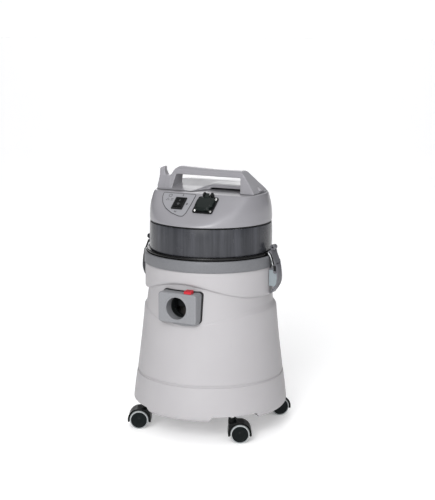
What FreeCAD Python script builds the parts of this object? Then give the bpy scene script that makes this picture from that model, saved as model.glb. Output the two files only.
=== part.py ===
import FreeCAD, Part
import Sketcher
import math
import os

# Wet and dry vacuum cleaner: a moulded drum on four twin-wheel castors, with a
# lift-off motor head.  Millimetres, +Z up, the front (hose inlet, controls) at -Y,
# the origin on the floor under the axis of the drum.

os.makedirs("parts", exist_ok=True)
V = FreeCAD.Vector
Rot = FreeCAD.Rotation
PL = FreeCAD.Placement
doc = FreeCAD.newDocument("wet_dry_vacuum")

# ----------------------------------------------------------------- dimensions
DIMS = [
    # castors
    ("castor_pos", 111.0, "stem axis, both ways from the drum's axis"),
    ("castor_trail", 17.5, "wheel axle behind the stem"),
    ("wheel_rad", 22.0, "tread radius"),
    ("core_rad", 17.6, "wheel core radius"),
    ("wheel_in", 7.4, "wheel's inner face from the castor's middle"),
    ("wheel_out", 21.0, "wheel's outer face from the castor's middle"),
    ("axle_rad", 2.5, "castor axle radius"),
    ("hood_rad", 26.8, "hood radius round the axle"),
    ("hood_half", 20.0, "half width of the hood"),
    ("web_half", 6.8, "half thickness of the hood's web"),
    ("stem_rad", 5.0, "castor stem radius"),
    # drum
    ("drum_foot", 53.5, "underside of the foot ring"),
    ("drum_floor", 66.0, "underside of the floor"),
    ("drum_wide", 181.2, "largest drum radius"),
    ("drum_neck", 153.1, "drum radius under the collar"),
    ("drum_waist", 145.6, "drum radius in the waist"),
    ("drum_mouth", 404.0, "top of the drum's mouth"),
    ("drum_wall", 3.5, "drum wall"),
    ("pocket_rad", 62.0, "castor pocket radius"),
    # collar and seal
    ("collar_rad", 155.2, "collar radius"),
    ("collar_low", 391.8, "collar's lower edge"),
    ("collar_top", 417.6, "collar's top"),
    ("seal_top", 418.7, "top of the seal"),
    # head
    ("plate_low", 419.0, "underside of the motor plate"),
    ("plate_rad", 149.6, "radius of the motor plate"),
    ("band_low", 424.9, "lower edge of the smoked band"),
    ("band_top", 491.0, "upper edge of the smoked band"),
    ("band_rad", 142.6, "radius of the smoked band"),
    ("cap_low", 491.3, "lower edge of the cap"),
    ("deck_z", 557.0, "flat deck on top of the cap"),
    ("cap_wall", 3.0, "cap wall"),
    ("facade_y", -138.0, "foot of the sloping control face"),
    ("facade_z", 497.5, "height of that foot"),
    ("facade_tilt", 38.05, "slope of the control face from level"),
    ("control_s", 60.8, "switch and socket centres, up the slope"),
    # handle
    ("grip_half", 82.8, "half the clear width under the grip"),
    ("grip_low", 592.0, "underside of the grip"),
    ("grip_top", 608.0, "top of the grip"),
    ("post_foot", 118.5, "outer face of a handle post, 8 mm above its foot"),
    # inlet
    ("inlet_z", 312.0, "height of the hose inlet"),
    ("inlet_rad", 25.0, "hose inlet bore radius"),
    ("inlet_face", -174.0, "front face of the inlet housing"),
    ("inlet_half", 46.5, "half width of the inlet housing"),
    # switch and socket
    ("switch_x", -36.0, "switch centre"),
    ("switch_wide", 28.0, "switch bezel width"),
    ("switch_long", 36.0, "switch bezel length"),
    ("socket_x", 31.0, "socket centre"),
    ("socket_side", 50.0, "socket flange side"),
    ("socket_rad", 19.5, "socket recess radius"),
    ("screw_pitch", 38.0, "socket screw spacing"),
    # latches
    ("latch_pin_x", 165.5, "latch lever pivot, from the drum's axis"),
    ("latch_pin_z", 394.0, "latch lever pivot height"),
    ("hook_pin_x", 169.5, "latch hook pivot"),
    ("hook_pin_z", 382.0, "latch hook pivot height"),
    ("pin_rad", 2.0, "latch pivot pin radius"),
    # motor and filter
    ("motor_rad", 50.0, "motor frame radius"),
    ("fan_rad", 72.0, "fan casing radius"),
    ("shaft_rad", 4.0, "motor shaft radius"),
    ("cage_rad", 56.0, "float cage radius"),
    ("float_rad", 27.0, "float ball radius"),
    ("filter_rad", 84.0, "filter cartridge radius"),
    ("filter_low", 215.0, "bottom of the filter cartridge"),
]
sheet = doc.addObject("Spreadsheet::Sheet", "dims")
D = {}
for row, (alias, value, note) in enumerate(DIMS, start=1):
    sheet.set("A%d" % row, note)
    sheet.set("B%d" % row, repr(value))
    sheet.setAlias("B%d" % row, alias)
    D[alias] = value
doc.recompute()


class Q:
    """A size: its number now, and the sheet expression that drives it."""

    def __init__(self, value, expr):
        self.v, self.e = value, expr

    def _mix(self, other, op, flip=False):
        o = other if isinstance(other, Q) else Q(float(other), "%.6g" % other if other >= 0 else "(%.6g)" % other)
        a, b = (o, self) if flip else (self, o)
        val = {"+": a.v + b.v, "-": a.v - b.v, "*": a.v * b.v}[op] if op != "/" else a.v / b.v
        return Q(val, "(%s %s %s)" % (a.e, op, b.e))

    def __add__(self, o): return self._mix(o, "+")
    def __radd__(self, o): return self._mix(o, "+", True)
    def __sub__(self, o): return self._mix(o, "-")
    def __rsub__(self, o): return self._mix(o, "-", True)
    def __mul__(self, o): return self._mix(o, "*")
    def __rmul__(self, o): return self._mix(o, "*", True)
    def __truediv__(self, o): return self._mix(o, "/")
    def __neg__(self): return Q(-self.v, "(0 - %s)" % self.e)


def q(alias):
    return Q(D[alias], "dims." + alias)


def num(x):
    return x.v if isinstance(x, Q) else float(x)


def bind(obj, prop, x):
    """Give obj.prop the size x, tied to the sheet where x comes from it."""
    if isinstance(x, Q):
        obj.setExpression(prop, x.e)


NODES = []
count = [0]


def fresh(stem):
    count[0] += 1
    return "%s_%03d" % (stem, count[0])


def place(obj, x=0.0, y=0.0, z=0.0, rot=None):
    obj.Placement = PL(V(num(x), num(y), num(z)), rot or Rot())
    for prop, val in (("x", x), ("y", y), ("z", z)):
        bind(obj, "Placement.Base." + prop, val)
    return obj


def origin_plane(body, role):
    for feat in body.Origin.OriginFeatures:
        if feat.Role == role:
            return feat
    raise ValueError(role)


def sketch_in(body, role, loops, offset=0.0):
    """A sketch on one of the body's own planes.  A loop is a list of (x, y)
    points, or ("circle", x, y, radius)."""
    sk = body.newObject("Sketcher::SketchObject", fresh("sketch"))
    sk.AttachmentSupport = [(origin_plane(body, role), "")]
    sk.MapMode = "FlatFace"
    sk.AttachmentOffset = PL(V(0, 0, num(offset)), Rot())
    bind(sk, "AttachmentOffset.Base.z", offset)

    def pin(index, pos, x, y):
        for kind, val in (("DistanceX", x), ("DistanceY", y)):
            if abs(num(val)) < 1e-9 and not isinstance(val, Q):
                sk.addConstraint(Sketcher.Constraint("PointOnObject", index, pos, -2 if kind == "DistanceX" else -1))
            else:
                c = sk.addConstraint(Sketcher.Constraint(kind, -1, 1, index, pos, num(val)))
                bind(sk, "Constraints[%d]" % c, val)

    for loop in loops:
        if loop[0] == "circle":
            _, cx, cy, r = loop
            i = sk.addGeometry(Part.Circle(V(num(cx), num(cy), 0), V(0, 0, 1), num(r)))
            pin(i, 3, cx, cy)
            c = sk.addConstraint(Sketcher.Constraint("Radius", i, num(r)))
            bind(sk, "Constraints[%d]" % c, r)
            continue
        pts = list(loop)
        n = len(pts)
        first = None
        for k in range(n):
            a, b = pts[k], pts[(k + 1) % n]
            i = sk.addGeometry(Part.LineSegment(V(num(a[0]), num(a[1]), 0), V(num(b[0]), num(b[1]), 0)))
            first = i if first is None else first
        for k in range(n):
            sk.addConstraint(Sketcher.Constraint("Coincident", first + k, 2, first + (k + 1) % n, 1))
        for k in range(n):
            pin(first + k, 1, pts[k][0], pts[k][1])
    return sk


def revolved(name, pts, axis="V_Axis", role="XZ_Plane", angle=360.0):
    body = doc.addObject("PartDesign::Body", name)
    sk = sketch_in(body, role, [pts])
    rev = body.newObject("PartDesign::Revolution", fresh("turn"))
    rev.Profile = sk
    rev.ReferenceAxis = (sk, [axis])
    rev.Angle = angle
    body.Tip = rev
    return body


def padded(name, role, loops, length, offset=0.0):
    """A pad from `offset` along the plane's normal: +Z on XY, -Y on XZ, +X on YZ."""
    body = doc.addObject("PartDesign::Body", name)
    sk = sketch_in(body, role, loops, offset)
    pad = body.newObject("PartDesign::Pad", fresh("pad"))
    pad.Profile = sk
    pad.Length = num(length)
    bind(pad, "Length", length)
    body.Tip = pad
    return body


def box(lx, ly, lz, x, y, z, rot=None):
    o = doc.addObject("Part::Box", fresh("box"))
    for prop, val in (("Length", lx), ("Width", ly), ("Height", lz)):
        setattr(o, prop, num(val))
        bind(o, prop, val)
    return place(o, x, y, z, rot)


AXES = {"Z": Rot(), "Y": Rot(V(1, 0, 0), -90), "X": Rot(V(0, 1, 0), 90)}


def cyl(r, length, x=0.0, y=0.0, z=0.0, axis="Z"):
    """A cylinder from (x, y, z) towards +axis."""
    o = doc.addObject("Part::Cylinder", fresh("cyl"))
    o.Radius, o.Height = num(r), num(length)
    bind(o, "Radius", r)
    bind(o, "Height", length)
    rot = AXES[axis] if isinstance(axis, str) else Rot(V(0, 0, 1), V(*axis))
    return place(o, x, y, z, rot)


def cone(r1, r2, length, x=0.0, y=0.0, z=0.0, axis="Z"):
    o = doc.addObject("Part::Cone", fresh("cone"))
    o.Radius1, o.Radius2, o.Height = num(r1), num(r2), num(length)
    bind(o, "Radius1", r1)
    bind(o, "Radius2", r2)
    bind(o, "Height", length)
    rot = AXES[axis] if isinstance(axis, str) else Rot(V(0, 0, 1), V(*axis))
    return place(o, x, y, z, rot)


def ball(r, x, y, z):
    o = doc.addObject("Part::Sphere", fresh("ball"))
    o.Radius = num(r)
    bind(o, "Radius", r)
    return place(o, x, y, z)


def fuse(*objs):
    if len(objs) == 1:
        return objs[0]
    o = doc.addObject("Part::MultiFuse", fresh("fuse"))
    o.Shapes = list(objs)
    o.Refine = True
    return o


def cut(base, *tools):
    o = doc.addObject("Part::Cut", fresh("cut"))
    o.Base = base
    o.Tool = fuse(*tools)
    o.Refine = True
    return o


def common(*objs):
    o = doc.addObject("Part::MultiCommon", fresh("common"))
    o.Shapes = list(objs)
    o.Refine = True
    return o


def group(*objs):
    o = doc.addObject("Part::Compound", fresh("group"))
    o.Links = list(objs)
    return o


def rounded(base, radius, test):
    """Round the edges of base that test(edge) picks."""
    doc.recompute()
    ids = [i for i, e in enumerate(base.Shape.Edges, start=1) if test(e)]
    if not ids:
        raise ValueError("no edge to round on " + base.Name)
    o = doc.addObject("Part::Fillet", fresh("round"))
    o.Base = base
    o.Edges = [(i, radius, radius) for i in ids]
    doc.recompute()
    if o.Shape.isNull() or not o.Shape.isValid():
        raise ValueError("rounding failed on " + base.Name)
    return o


def along(e, d):
    """A straight edge along direction d?"""
    if e.Curve.TypeId != "Part::GeomLine":
        return False
    t = e.tangentAt(e.FirstParameter)
    return abs(abs(t.dot(V(*d))) - 1.0) < 1e-4


def node(obj, label):
    obj.Label = label
    NODES.append((obj, label))
    return obj


# ----------------------------------------------------------------------- drum
foot, floor, wall = q("drum_foot"), q("drum_floor"), q("drum_wall")
wide, neck, waist, mouth = q("drum_wide"), q("drum_neck"), q("drum_waist"), q("drum_mouth")

drum_out_pts = [
    (0, floor), (148, floor), (152, foot), (wide - 11.2, foot), (wide - 5.7, foot + 1.2),
    (wide - 1.9, foot + 4.0), (wide - 0.2, foot + 8.0), (wide, foot + 12.5),
    (173.6, 126.0), (173.0, 129.2), (170.4, 131.2), (170.4, 135.2), (171.6, 137.4),
    (162.0, 216.3), (157.6, 260.0), (155.2, 286.0), (153.6, 293.5), (150.5, 298.8), (147.0, 302.2), (waist, 306.0),
    (waist, 321.0), (146.8, 325.6), (150.2, 331.0), (152.6, 335.6), (neck, 341.0),
    (neck, 391.0), (151.0, 391.0), (151.0, mouth), (0, mouth)]
drum_out = revolved("drum_outer", drum_out_pts)
drum_in_pts = [
    (0, floor + wall), (149.6, floor + wall), (155.2, foot + wall), (wide - 12.0, foot + wall),
    (wide - 7.6, foot + wall + 1.0), (wide - 4.6, foot + wall + 4.0), (wide - 3.6, foot + 12.5),
    (169.9, 126.0), (166.9, 130.6), (166.9, 135.8), (168.0, 138.4),
    (158.4, 216.3), (154.0, 260.0), (151.6, 286.0), (150.0, 292.2), (147.4, 296.4), (143.6, 300.4), (waist - 3.5, 305.4),
    (waist - 3.5, 321.8), (143.4, 327.2), (146.9, 333.0), (149.0, 337.0), (neck - 3.5, 342.0),
    (neck - 3.5, 389.0), (147.5, 392.0), (147.5, mouth + 1), (0, mouth + 1)]
drum_in = revolved("drum_inner", drum_in_pts)

cp = q("castor_pos")
CORNERS = [("front_left", -1, -1), ("front_right", 1, -1), ("rear_right", 1, 1), ("rear_left", -1, 1)]
pk = q("pocket_rad")
outer_pockets = [cyl(pk, 20.0, cp * sx, cp * sy, floor - 20.0) for _, sx, sy in CORNERS]
inner_pockets = [cyl(pk + 3.5, 40.0, cp * sx, cp * sy, floor + wall - 40.0) for _, sx, sy in CORNERS]
bosses = [cyl(10.0, 28.0, cp * sx, cp * sy, floor) for _, sx, sy in CORNERS]
boss_bores = [cyl(q("stem_rad") + 0.02, 30.0, cp * sx, cp * sy, floor - 6.0) for _, sx, sy in CORNERS]
drum_solid = cut(drum_out, *outer_pockets)
drum_hollow = cut(drum_in, *inner_pockets)
iz, ir, iface, ihalf = q("inlet_z"), q("inlet_rad"), q("inlet_face"), q("inlet_half")
inlet_holes = [cyl(2.0, 19.0, 38.0 * sx, -155.0, iz + dz, "Y") for sx in (-1, 1) for dz in (-30.0, 30.0)]
drum = cut(fuse(cut(drum_solid, drum_hollow), *bosses), *(boss_bores + inlet_holes + [cyl(ir + 3.4, 60.0, 0, -190.0, iz, "Y")]))
node(drum, "tank")

# --------------------------------------------------------------- collar, seal
cr, cl, ct = q("collar_rad"), q("collar_low"), q("collar_top")
node(revolved("collar", [
    (151.2, cl), (cr - 0.4, cl), (cr, cl + 0.6), (cr, ct - 4.0), (cr - 0.6, ct - 1.8), (cr - 2.0, ct - 0.4),
    (cr - 3.6, ct), (150.4, ct), (150.4, ct - 4.2), (143.2, ct - 4.2), (143.2, ct - 0.4), (138.8, ct - 0.4),
    (137.6, ct - 1.6), (137.6, mouth - 5.0), (147.3, mouth - 5.0), (147.3, mouth + 0.1), (151.2, mouth + 0.1)]), "tank_rim")
st = q("seal_top")
node(revolved("seal", [
    (143.4, ct - 4.1), (150.2, ct - 4.1), (150.2, st - 1.6), (149.4, st - 0.4), (148.2, st), (145.2, st),
    (144.0, st - 0.4), (143.4, st - 1.6)]), "tank_seal")

# ---------------------------------------------------------------------- inlet
# A grey moulding stands on the drum's front; its bore takes the hose end.
shell_front = box(ihalf * 2, 44.0, 69.0, -ihalf, iface, iz - 34.0)
shell_front = rounded(shell_front, 9.0, lambda e: along(e, (0, 1, 0)))
shell_front = rounded(shell_front, 2.5, lambda e: e.BoundBox.YMax < D["inlet_face"] + 0.01)
back_flange = box(ihalf * 2 + 10.0, 30.0, 80.0, -(ihalf + 5.0), -160.0, iz - 43.0)
back_flange = rounded(back_flange, 13.0, lambda e: along(e, (0, 1, 0)))
spigot = cyl(ir + 3.0, 34.0, 0, -170.0, iz, "Y")
bore = cyl(ir, 60.0, 0, iface - 5.0, iz, "Y")
catch_slot = box(19.6, 15.6, 14.0, 16.2, -171.3, iz + 26.8)
spring_well = cyl(4.3, 16.0, 28.2, -163.5, iz + 12.0)
screw_bores = [cyl(2.0, 20.0, 38.0 * sx, -160.0, iz + dz, "Y") for sx in (-1, 1) for dz in (-30.0, 30.0)]
housing = cut(cut(fuse(shell_front, back_flange), drum_out), catch_slot, spring_well, *screw_bores)
housing = cut(fuse(housing, spigot), bore, spring_well)
node(housing, "inlet_housing")

seal_ring = cut(cyl(ir + 8.0, 11.0, 0, -148.0, iz, "Y"), cyl(ir + 3.05, 20.0, 0, -150.0, iz, "Y"))
seal_ring = cut(common(seal_ring, drum_in), cyl(136.4, 100.0, 0, 0, iz - 50.0))
node(seal_ring, "inlet_seal")

# the elbow inside turns the incoming air down and round the drum's wall
elbow_tube = cut(cyl(ir + 3.0, 26.0, 0, -135.8, iz, "Y"), cyl(ir, 20.0, 0, -136.0, iz, "Y"))
elbow_tube = cut(elbow_tube, box(60.0, 30.0, 40.0, -30.0, -128.0, iz - 40.0 - 8.0))
node(elbow_tube, "inlet_deflector")

screws = []
for sx in (-1, 1):
    for dz in (-30.0, 30.0):
        top_y = -136.9 if dz > 0 else -143.4
        head = cyl(3.6, 2.2, 38.0 * sx, top_y, iz + dz, "Y")
        shank = cyl(1.9, 16.0, 38.0 * sx, top_y - 15.9, iz + dz, "Y")
        screws.append(fuse(head, shank))
node(group(*screws), "inlet_screws")

catch_block = box(19.0, 15.0, 10.6, 16.5, -171.0, iz + 31.6)
catch_block = rounded(catch_block, 2.0, lambda e: e.BoundBox.ZMin > D["inlet_z"] + 42.0)
catch_stem = cyl(3.2, 4.0, 28.2, -163.5, iz + 28.0)
node(fuse(catch_block, catch_stem), "inlet_catch")
spring_turns = [cut(cyl(3.9, 1.2, 28.2, -163.5, iz + 12.4 + 2.8 * k), cyl(2.7, 3.0, 28.2, -163.5, iz + 11.4 + 2.8 * k)) for k in range(6)]
spring_rod = box(1.0, 1.0, 14.4, 30.9, -164.0, iz + 12.6)
node(fuse(*(spring_turns + [spring_rod])), "catch_spring")

# -------------------------------------------------------------------- castors
tr, wr, hr = q("castor_trail"), q("wheel_rad"), q("hood_rad")
hh, wh, ar = q("hood_half"), q("web_half"), q("axle_rad")
win, wout, core = q("wheel_in"), q("wheel_out"), q("core_rad")
sr = q("stem_rad")
SWIVEL = {"front_left": 204.0, "front_right": 27.0, "rear_right": 40.0, "rear_left": 200.0}

stems = []
for name, sx, sy in CORNERS:
    stem = cyl(sr, 58.0, cp * sx, cp * sy, 31.5)
    stem_collar = cyl(sr + 3.4, 5.0, cp * sx, cp * sy, floor - 5.2)
    stems.append(fuse(stem, stem_collar))
node(group(*stems), "castor_stems")


def castor_hood():
    drum_part = cyl(hr, hh * 2, tr, -hh, wr, "Y")
    front_part = box(tr + 9.0, hh * 2, hr + 8.0, -9.0, -hh, wr - 8.0)
    top_boss = cyl(9.0, 9.6, 0, 0, wr + hr - 2.0)
    body = fuse(drum_part, front_part, top_boss)
    keep = box(90.0, 60.0, 60.0, -20.0, -30.0, wr - 6.0)
    body = common(body, keep)
    well_a = cyl(wr + 1.3, hh, tr, wh, wr, "Y")
    well_b = cyl(wr + 1.3, hh, tr, -wh - hh, wr, "Y")
    web_low = box(24.0, wh * 2, 14.0, tr - 12.0, -wh, wr - 8.0)
    body = fuse(cut(body, well_a, well_b), web_low)
    return cut(body, cyl(sr + 0.06, 60.0, 0, 0, 31.0), cyl(ar + 0.01, 60.0, tr, -30.0, wr, "Y"))


def castor_wheel(side):
    y0 = win if side > 0 else -wout
    wide_ = wout - win
    tread = cut(cyl(wr, wide_, tr, y0, wr, "Y"), cyl(core, wide_ + 2.0, tr, y0 - 1.0, wr, "Y"))
    tread = rounded(tread, 2.2, lambda e: e.BoundBox.ZMax > 2 * D["wheel_rad"] - 0.2 and e.Curve.TypeId == "Part::GeomCircle")
    hub = cyl(core, wide_, tr, y0, wr, "Y")
    bore_y = wh if side > 0 else -wout + 1.8
    hub = cut(hub, cyl(ar + 0.05, wout - 1.8 - wh, tr, bore_y, wr, "Y"))
    return tread, hub


for name, sx, sy in CORNERS:
    turn = Rot(V(0, 0, 1), SWIVEL[name])

    def stand(obj):
        g = group(obj)
        return place(g, cp * sx, cp * sy, 0, turn)

    node(stand(castor_hood()), "castor_%s_hood" % name)
    node(stand(cyl(ar, (wout - 2.0) * 2, tr, -(wout - 2.0), wr, "Y")), "castor_%s_axle" % name)
    for side, word in ((1, "wheel_a"), (-1, "wheel_b")):
        tread, hub = castor_wheel(side)
        both = group(tread, hub)
        node(place(both, cp * sx, cp * sy, 0, turn), "castor_%s_%s" % (name, word))

# -------------------------------------------------------------------- latches
lpx, lpz, hpx, hpz, pr = q("latch_pin_x"), q("latch_pin_z"), q("hook_pin_x"), q("hook_pin_z"), q("pin_rad")


def mirror_x(obj):
    o = doc.addObject("Part::Mirroring", fresh("mirror"))
    o.Source = obj
    o.Base = V(0, 0, 0)
    o.Normal = V(1, 0, 0)
    return o


def latch_bracket():
    block = box(24.0, 18.0, 20.0, 146.0, -9.0, 354.0)
    block = rounded(block, 1.5, lambda e: e.BoundBox.XMin > 169.9)
    ears = []
    for y in (-9.0, 6.0):
        ear = padded(fresh("ear"), "XZ_Plane", [[
            (148.0, 373.0), (167.0, 373.0), (lpx + 4.2, lpz - 2.5), (lpx + 3.0, lpz + 3.2), (lpx, lpz + 4.4),
            (lpx - 4.0, lpz + 3.2), (157.4, 389.0), (148.0, 389.0)]], 3.0, -(y + 3.0))
        ears.append(ear)
    return cut(fuse(block, *ears), drum_out, cyl(pr + 0.01, 30.0, lpx, -15.0, lpz, "Y"))


def latch_lever():
    plate = padded(fresh("lever"), "XZ_Plane", [[
        (173.6, 398.0), (176.4, 397.4), (178.6, 393.0), (180.2, 380.0), (180.2, 366.0), (178.2, 354.0), (172.2, 342.0),
        (164.0, 333.4), (159.4, 331.4), (158.6, 334.4), (162.4, 337.4), (168.8, 345.4), (173.8, 356.4),
        (175.4, 366.0), (175.4, 380.0), (174.2, 389.0)]], 25.2, -12.6)
    cheeks = []
    for y in (-12.6, 9.6):
        cheeks.append(padded(fresh("cheek"), "XZ_Plane", [[
            (lpx - 4.6, lpz), (lpx - 3.4, lpz + 3.4), (lpx, lpz + 4.8), (174.4, 398.0), (176.8, 392.0), (176.8, 362.0),
            (174.4, 358.0), (170.4, 370.0), (hpx - 4.4, hpz - 1.0), (lpx - 3.8, lpz - 3.0)]], 3.0, -(y + 3.0)))
    return cut(fuse(plate, *cheeks), cyl(pr + 0.05, 40.0, lpx, -20.0, lpz, "Y"), cyl(pr + 0.25, 40.0, hpx, -20.0, hpz, "Y"))


def latch_hook():
    arms = []
    for y in (-15.6, 13.0):
        arms.append(padded(fresh("arm"), "XZ_Plane", [[
            (hpx - 1.0, hpz - 3.8), (hpx + 2.2, hpz - 3.2), (hpx + 3.8, hpz), (173.2, 393.0), (172.2, 404.0), (171.6, 407.0),
            (164.8, 407.0), (166.6, 402.0), (168.0, 396.0), (168.0, 388.0), (hpx - 3.6, hpz + 1.6), (hpx - 3.8, hpz - 1.4)]],
            2.6, -(y + 2.6)))
    bridge = padded(fresh("hook"), "XZ_Plane", [[
        (172.2, 404.0), (170.0, 414.0), (166.6, 424.0), (164.0, 430.0), (164.2, 435.0), (161.6, 439.6), (157.0, 440.8),
        (153.2, 438.6), (151.8, 434.6), (152.0, 430.6), (150.4, 428.8), (150.4, 425.8), (156.8, 422.8), (161.0, 416.0),
        (164.8, 407.0), (166.2, 404.0)]], 31.2, -15.6)
    stubs = [cyl(pr + 0.2, 4.2, hpx, y, hpz, "Y") for y in (-13.2, 9.0)]
    eye = cyl(2.2, 40.0, 158.0, -20.0, 435.0, "Y")
    return cut(fuse(bridge, *(arms + stubs)), eye)


node(latch_bracket(), "latch_bracket_right")
node(mirror_x(latch_bracket()), "latch_bracket_left")
pin_r = cyl(pr, 25.6, lpx, -12.8, lpz, "Y")
pin_l = cyl(pr, 25.6, -lpx, -12.8, lpz, "Y")
node(group(pin_r, pin_l), "latch_pins")
node(latch_lever(), "latch_lever_right")
node(mirror_x(latch_lever()), "latch_lever_left")
node(latch_hook(), "latch_hook_right")
node(mirror_x(latch_hook()), "latch_hook_left")

# ----------------------------------------------------------- motor plate, band
pl, prd = q("plate_low"), q("plate_rad")
plate = revolved("motor_plate_body", [
    (22.0, pl - 47.0), (82.0, pl - 47.0), (84.0, pl - 45.0), (84.0, pl), (prd - 0.6, pl), (prd, pl + 0.6),
    (prd, pl + 5.0), (prd - 0.6, pl + 5.6), (137.9, pl + 5.6), (137.9, pl + 14.0), (135.4, pl + 14.0),
    (135.4, pl + 3.6), (80.4, pl + 3.6), (80.4, pl - 43.4), (22.0, pl - 43.4)])
S45 = math.sqrt(0.5)
SCREW_R = 131.5
screw_xy = [(SCREW_R * S45 * sx, SCREW_R * S45 * sy) for _, sx, sy in CORNERS]
plate = cut(plate, *[cyl(2.7, 30.0, x, y, pl - 10.0) for x, y in screw_xy])
node(plate, "motor_plate")
bl, bt, br = q("band_low"), q("band_top"), q("band_rad")
node(revolved("band", [(138.4, bl), (br, bl), (br + 0.2, bl + 1.0), (br - 0.4, bt - 0.6), (br - 0.8, bt), (138.0, bt)]), "smoked_band")

# ------------------------------------------------------------------------ cap
# Level sections of the cap: a circle at the seam that grows a straight front
# towards the deck.  front() is the distance of the sloping control face from
# the axis, dome() the radius of the dome, and a high-order mean blends them.
DOME = [(491.3, 141.7), (499.0, 142.3), (506.0, 142.0), (513.0, 141.6), (520.0, 141.1), (528.0, 140.0), (535.0, 138.5),
        (543.0, 136.5), (551.0, 134.2), (557.0, 131.7)]
FRONT = [(491.3, 141.4), (495.0, 140.0), (499.5, 135.4), (506.0, 127.1)]


def lerp(table, z):
    for (z0, a), (z1, b) in zip(table, table[1:]):
        if z <= z1:
            return a + (b - a) * (z - z0) / (z1 - z0)
    return table[-1][1]


def facade_reach(z):
    return -(D["facade_y"] + (z - D["facade_z"]) / math.tan(math.radians(D["facade_tilt"])))


def section(z, inset):
    """Closed smooth outline of the cap at height z, moved in by inset."""
    r_dome = lerp(DOME, z)
    want = lerp(FRONT, z) if z < 506.0 else facade_reach(z)
    p = 12.0
    gap = want ** -p - r_dome ** -p
    reach = gap ** (-1.0 / p) if gap > 0 else 1e4
    pts = []
    n = 96
    for k in range(n):
        a = 2 * math.pi * k / n
        c = math.cos(a)
        r = r_dome
        if c > 0.02:
            r = (r_dome ** -p + (reach / c) ** -p) ** (-1.0 / p)
        pts.append(V(r * math.sin(a), -r * math.cos(a), 0))
    if inset:
        moved = []
        for k in range(n):
            t = pts[(k + 1) % n] - pts[k - 1]
            nrm = V(t.y, -t.x, 0)
            nrm.normalize()
            moved.append(pts[k] - nrm * inset)
        pts = moved
    curve = Part.BSplineCurve()
    curve.interpolate(Points=[p_ + V(0, 0, z) for p_ in pts], PeriodicFlag=True)
    return Part.Wire([curve.toShape()])


LEVELS = [491.3, 495.0, 499.5, 506.0, 513.0, 520.0, 528.0, 535.0, 543.0, 551.0, 557.0]
cap_skin = Part.makeLoft([section(z, 0.0) for z in LEVELS], True, False)
cw = D["cap_wall"]
slant = cw / math.sin(math.radians(D["facade_tilt"]))
inner_levels = [z for z in LEVELS if z < 550.0] + [557.0 - cw]


def inner_section(z):
    # the wall is measured square to the sloping face, so its section moves in more there
    r_dome = lerp(DOME, z) - cw
    want = (lerp(FRONT, z) if z < 506.0 else facade_reach(z)) - slant
    p = 12.0
    gap = max(want, 10.0) ** -p - r_dome ** -p
    reach = gap ** (-1.0 / p) if gap > 0 else 1e4
    pts = []
    n = 96
    for k in range(n):
        a = 2 * math.pi * k / n
        c = math.cos(a)
        r = r_dome
        if c > 0.02:
            r = (r_dome ** -p + (reach / c) ** -p) ** (-1.0 / p)
        pts.append(V(r * math.sin(a), -r * math.cos(a), z))
    curve = Part.BSplineCurve()
    curve.interpolate(Points=pts, PeriodicFlag=True)
    return Part.Wire([curve.toShape()])


hollow = Part.makeLoft([inner_section(z) for z in inner_levels], True, False)
sink = inner_section(491.3)
under = Part.Face(sink).extrude(V(0, 0, -4))
cap_outer = doc.addObject("Part::Feature", "cap_outer")
cap_outer.Shape = cap_skin
cap_inner = doc.addObject("Part::Feature", "cap_inner")
cap_inner.Shape = hollow.fuse(under)

FT = Rot(V(1, 0, 0), D["facade_tilt"])
TILT = math.radians(D["facade_tilt"])
cs = q("control_s")


def on_face(obj, x, s, n=0.0):
    """Stand an object built on the XY plane on the control face: x across, s up
    the slope from the face's foot, n out from the face."""
    ca, sa = math.cos(TILT), math.sin(TILT)
    g = group(obj)
    bx = x if isinstance(x, Q) else float(x)
    by = q("facade_y") + s * ca - n * sa
    bz = q("facade_z") + s * sa + n * ca
    return place(g, bx, by, bz, FT)


swx, sww, swl = q("switch_x"), q("switch_wide"), q("switch_long")
skx, sks, skr, skp = q("socket_x"), q("socket_side"), q("socket_rad"), q("screw_pitch")
boss_pts = [cyl(8.0, 26.0, x, y, 491.3) for x, y in screw_xy]
boss_holes = [cyl(2.1, 22.0, x, y, 490.0) for x, y in screw_xy]
switch_hole = on_face(box(sww - 4.0, swl - 4.0, 30.0, -(sww - 4.0) / 2, -(swl - 4.0) / 2, -15.0), swx, cs)
socket_hole = on_face(cyl(skr + 1.6, 30.0, 0, 0, -15.0), skx, cs)
screw_holes = [on_face(cyl(1.5, 20.0, skp * 0.5 * a, skp * 0.5 * b, -10.0), skx, cs) for a in (-1, 1) for b in (-1, 1)]
rear_window = box(96.0, 40.0, 34.0, -48.0, 112.0, 506.0)
deck_vent = box(90.0, 44.0, 20.0, -45.0, 62.0, 545.0)
GL = math.radians(118.0)
gdir = (math.cos(GL), math.sin(GL), 0.0)
gland_hole = cyl(6.4, 30.0, 125.0 * gdir[0], 125.0 * gdir[1], 506.0, gdir)
cap = cut(fuse(cut(cap_outer, cap_inner), *[common(b, cap_outer) for b in boss_pts]),
          *(boss_holes + [switch_hole, socket_hole, rear_window, deck_vent, gland_hole] + screw_holes))
node(cap, "head_cap")

# the louvred outlet for the cooling air, in the cap's back
grille_ring = revolved("grille_ring", [
    (136.6, 507.0), (141.7, 507.0), (141.3, 513.0), (140.7, 521.0), (139.6, 528.0), (138.2, 535.0), (137.2, 539.0), (131.4, 539.0)])
grille = common(grille_ring, box(94.6, 40.0, 33.0, -47.3, 112.5, 506.5))
lip = common(revolved("grille_lip", [(136.8, 503.5), (138.6, 503.5), (132.8, 542.5), (131.0, 542.5)]),
             box(102.0, 40.0, 41.0, -51.0, 110.0, 502.5))
slots = [box(82.0, 60.0, 2.6, -41.0, 105.0, 510.4 + 5.2 * k) for k in range(5)]
node(cut(fuse(grille, lip), *slots), "exhaust_grille")

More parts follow.
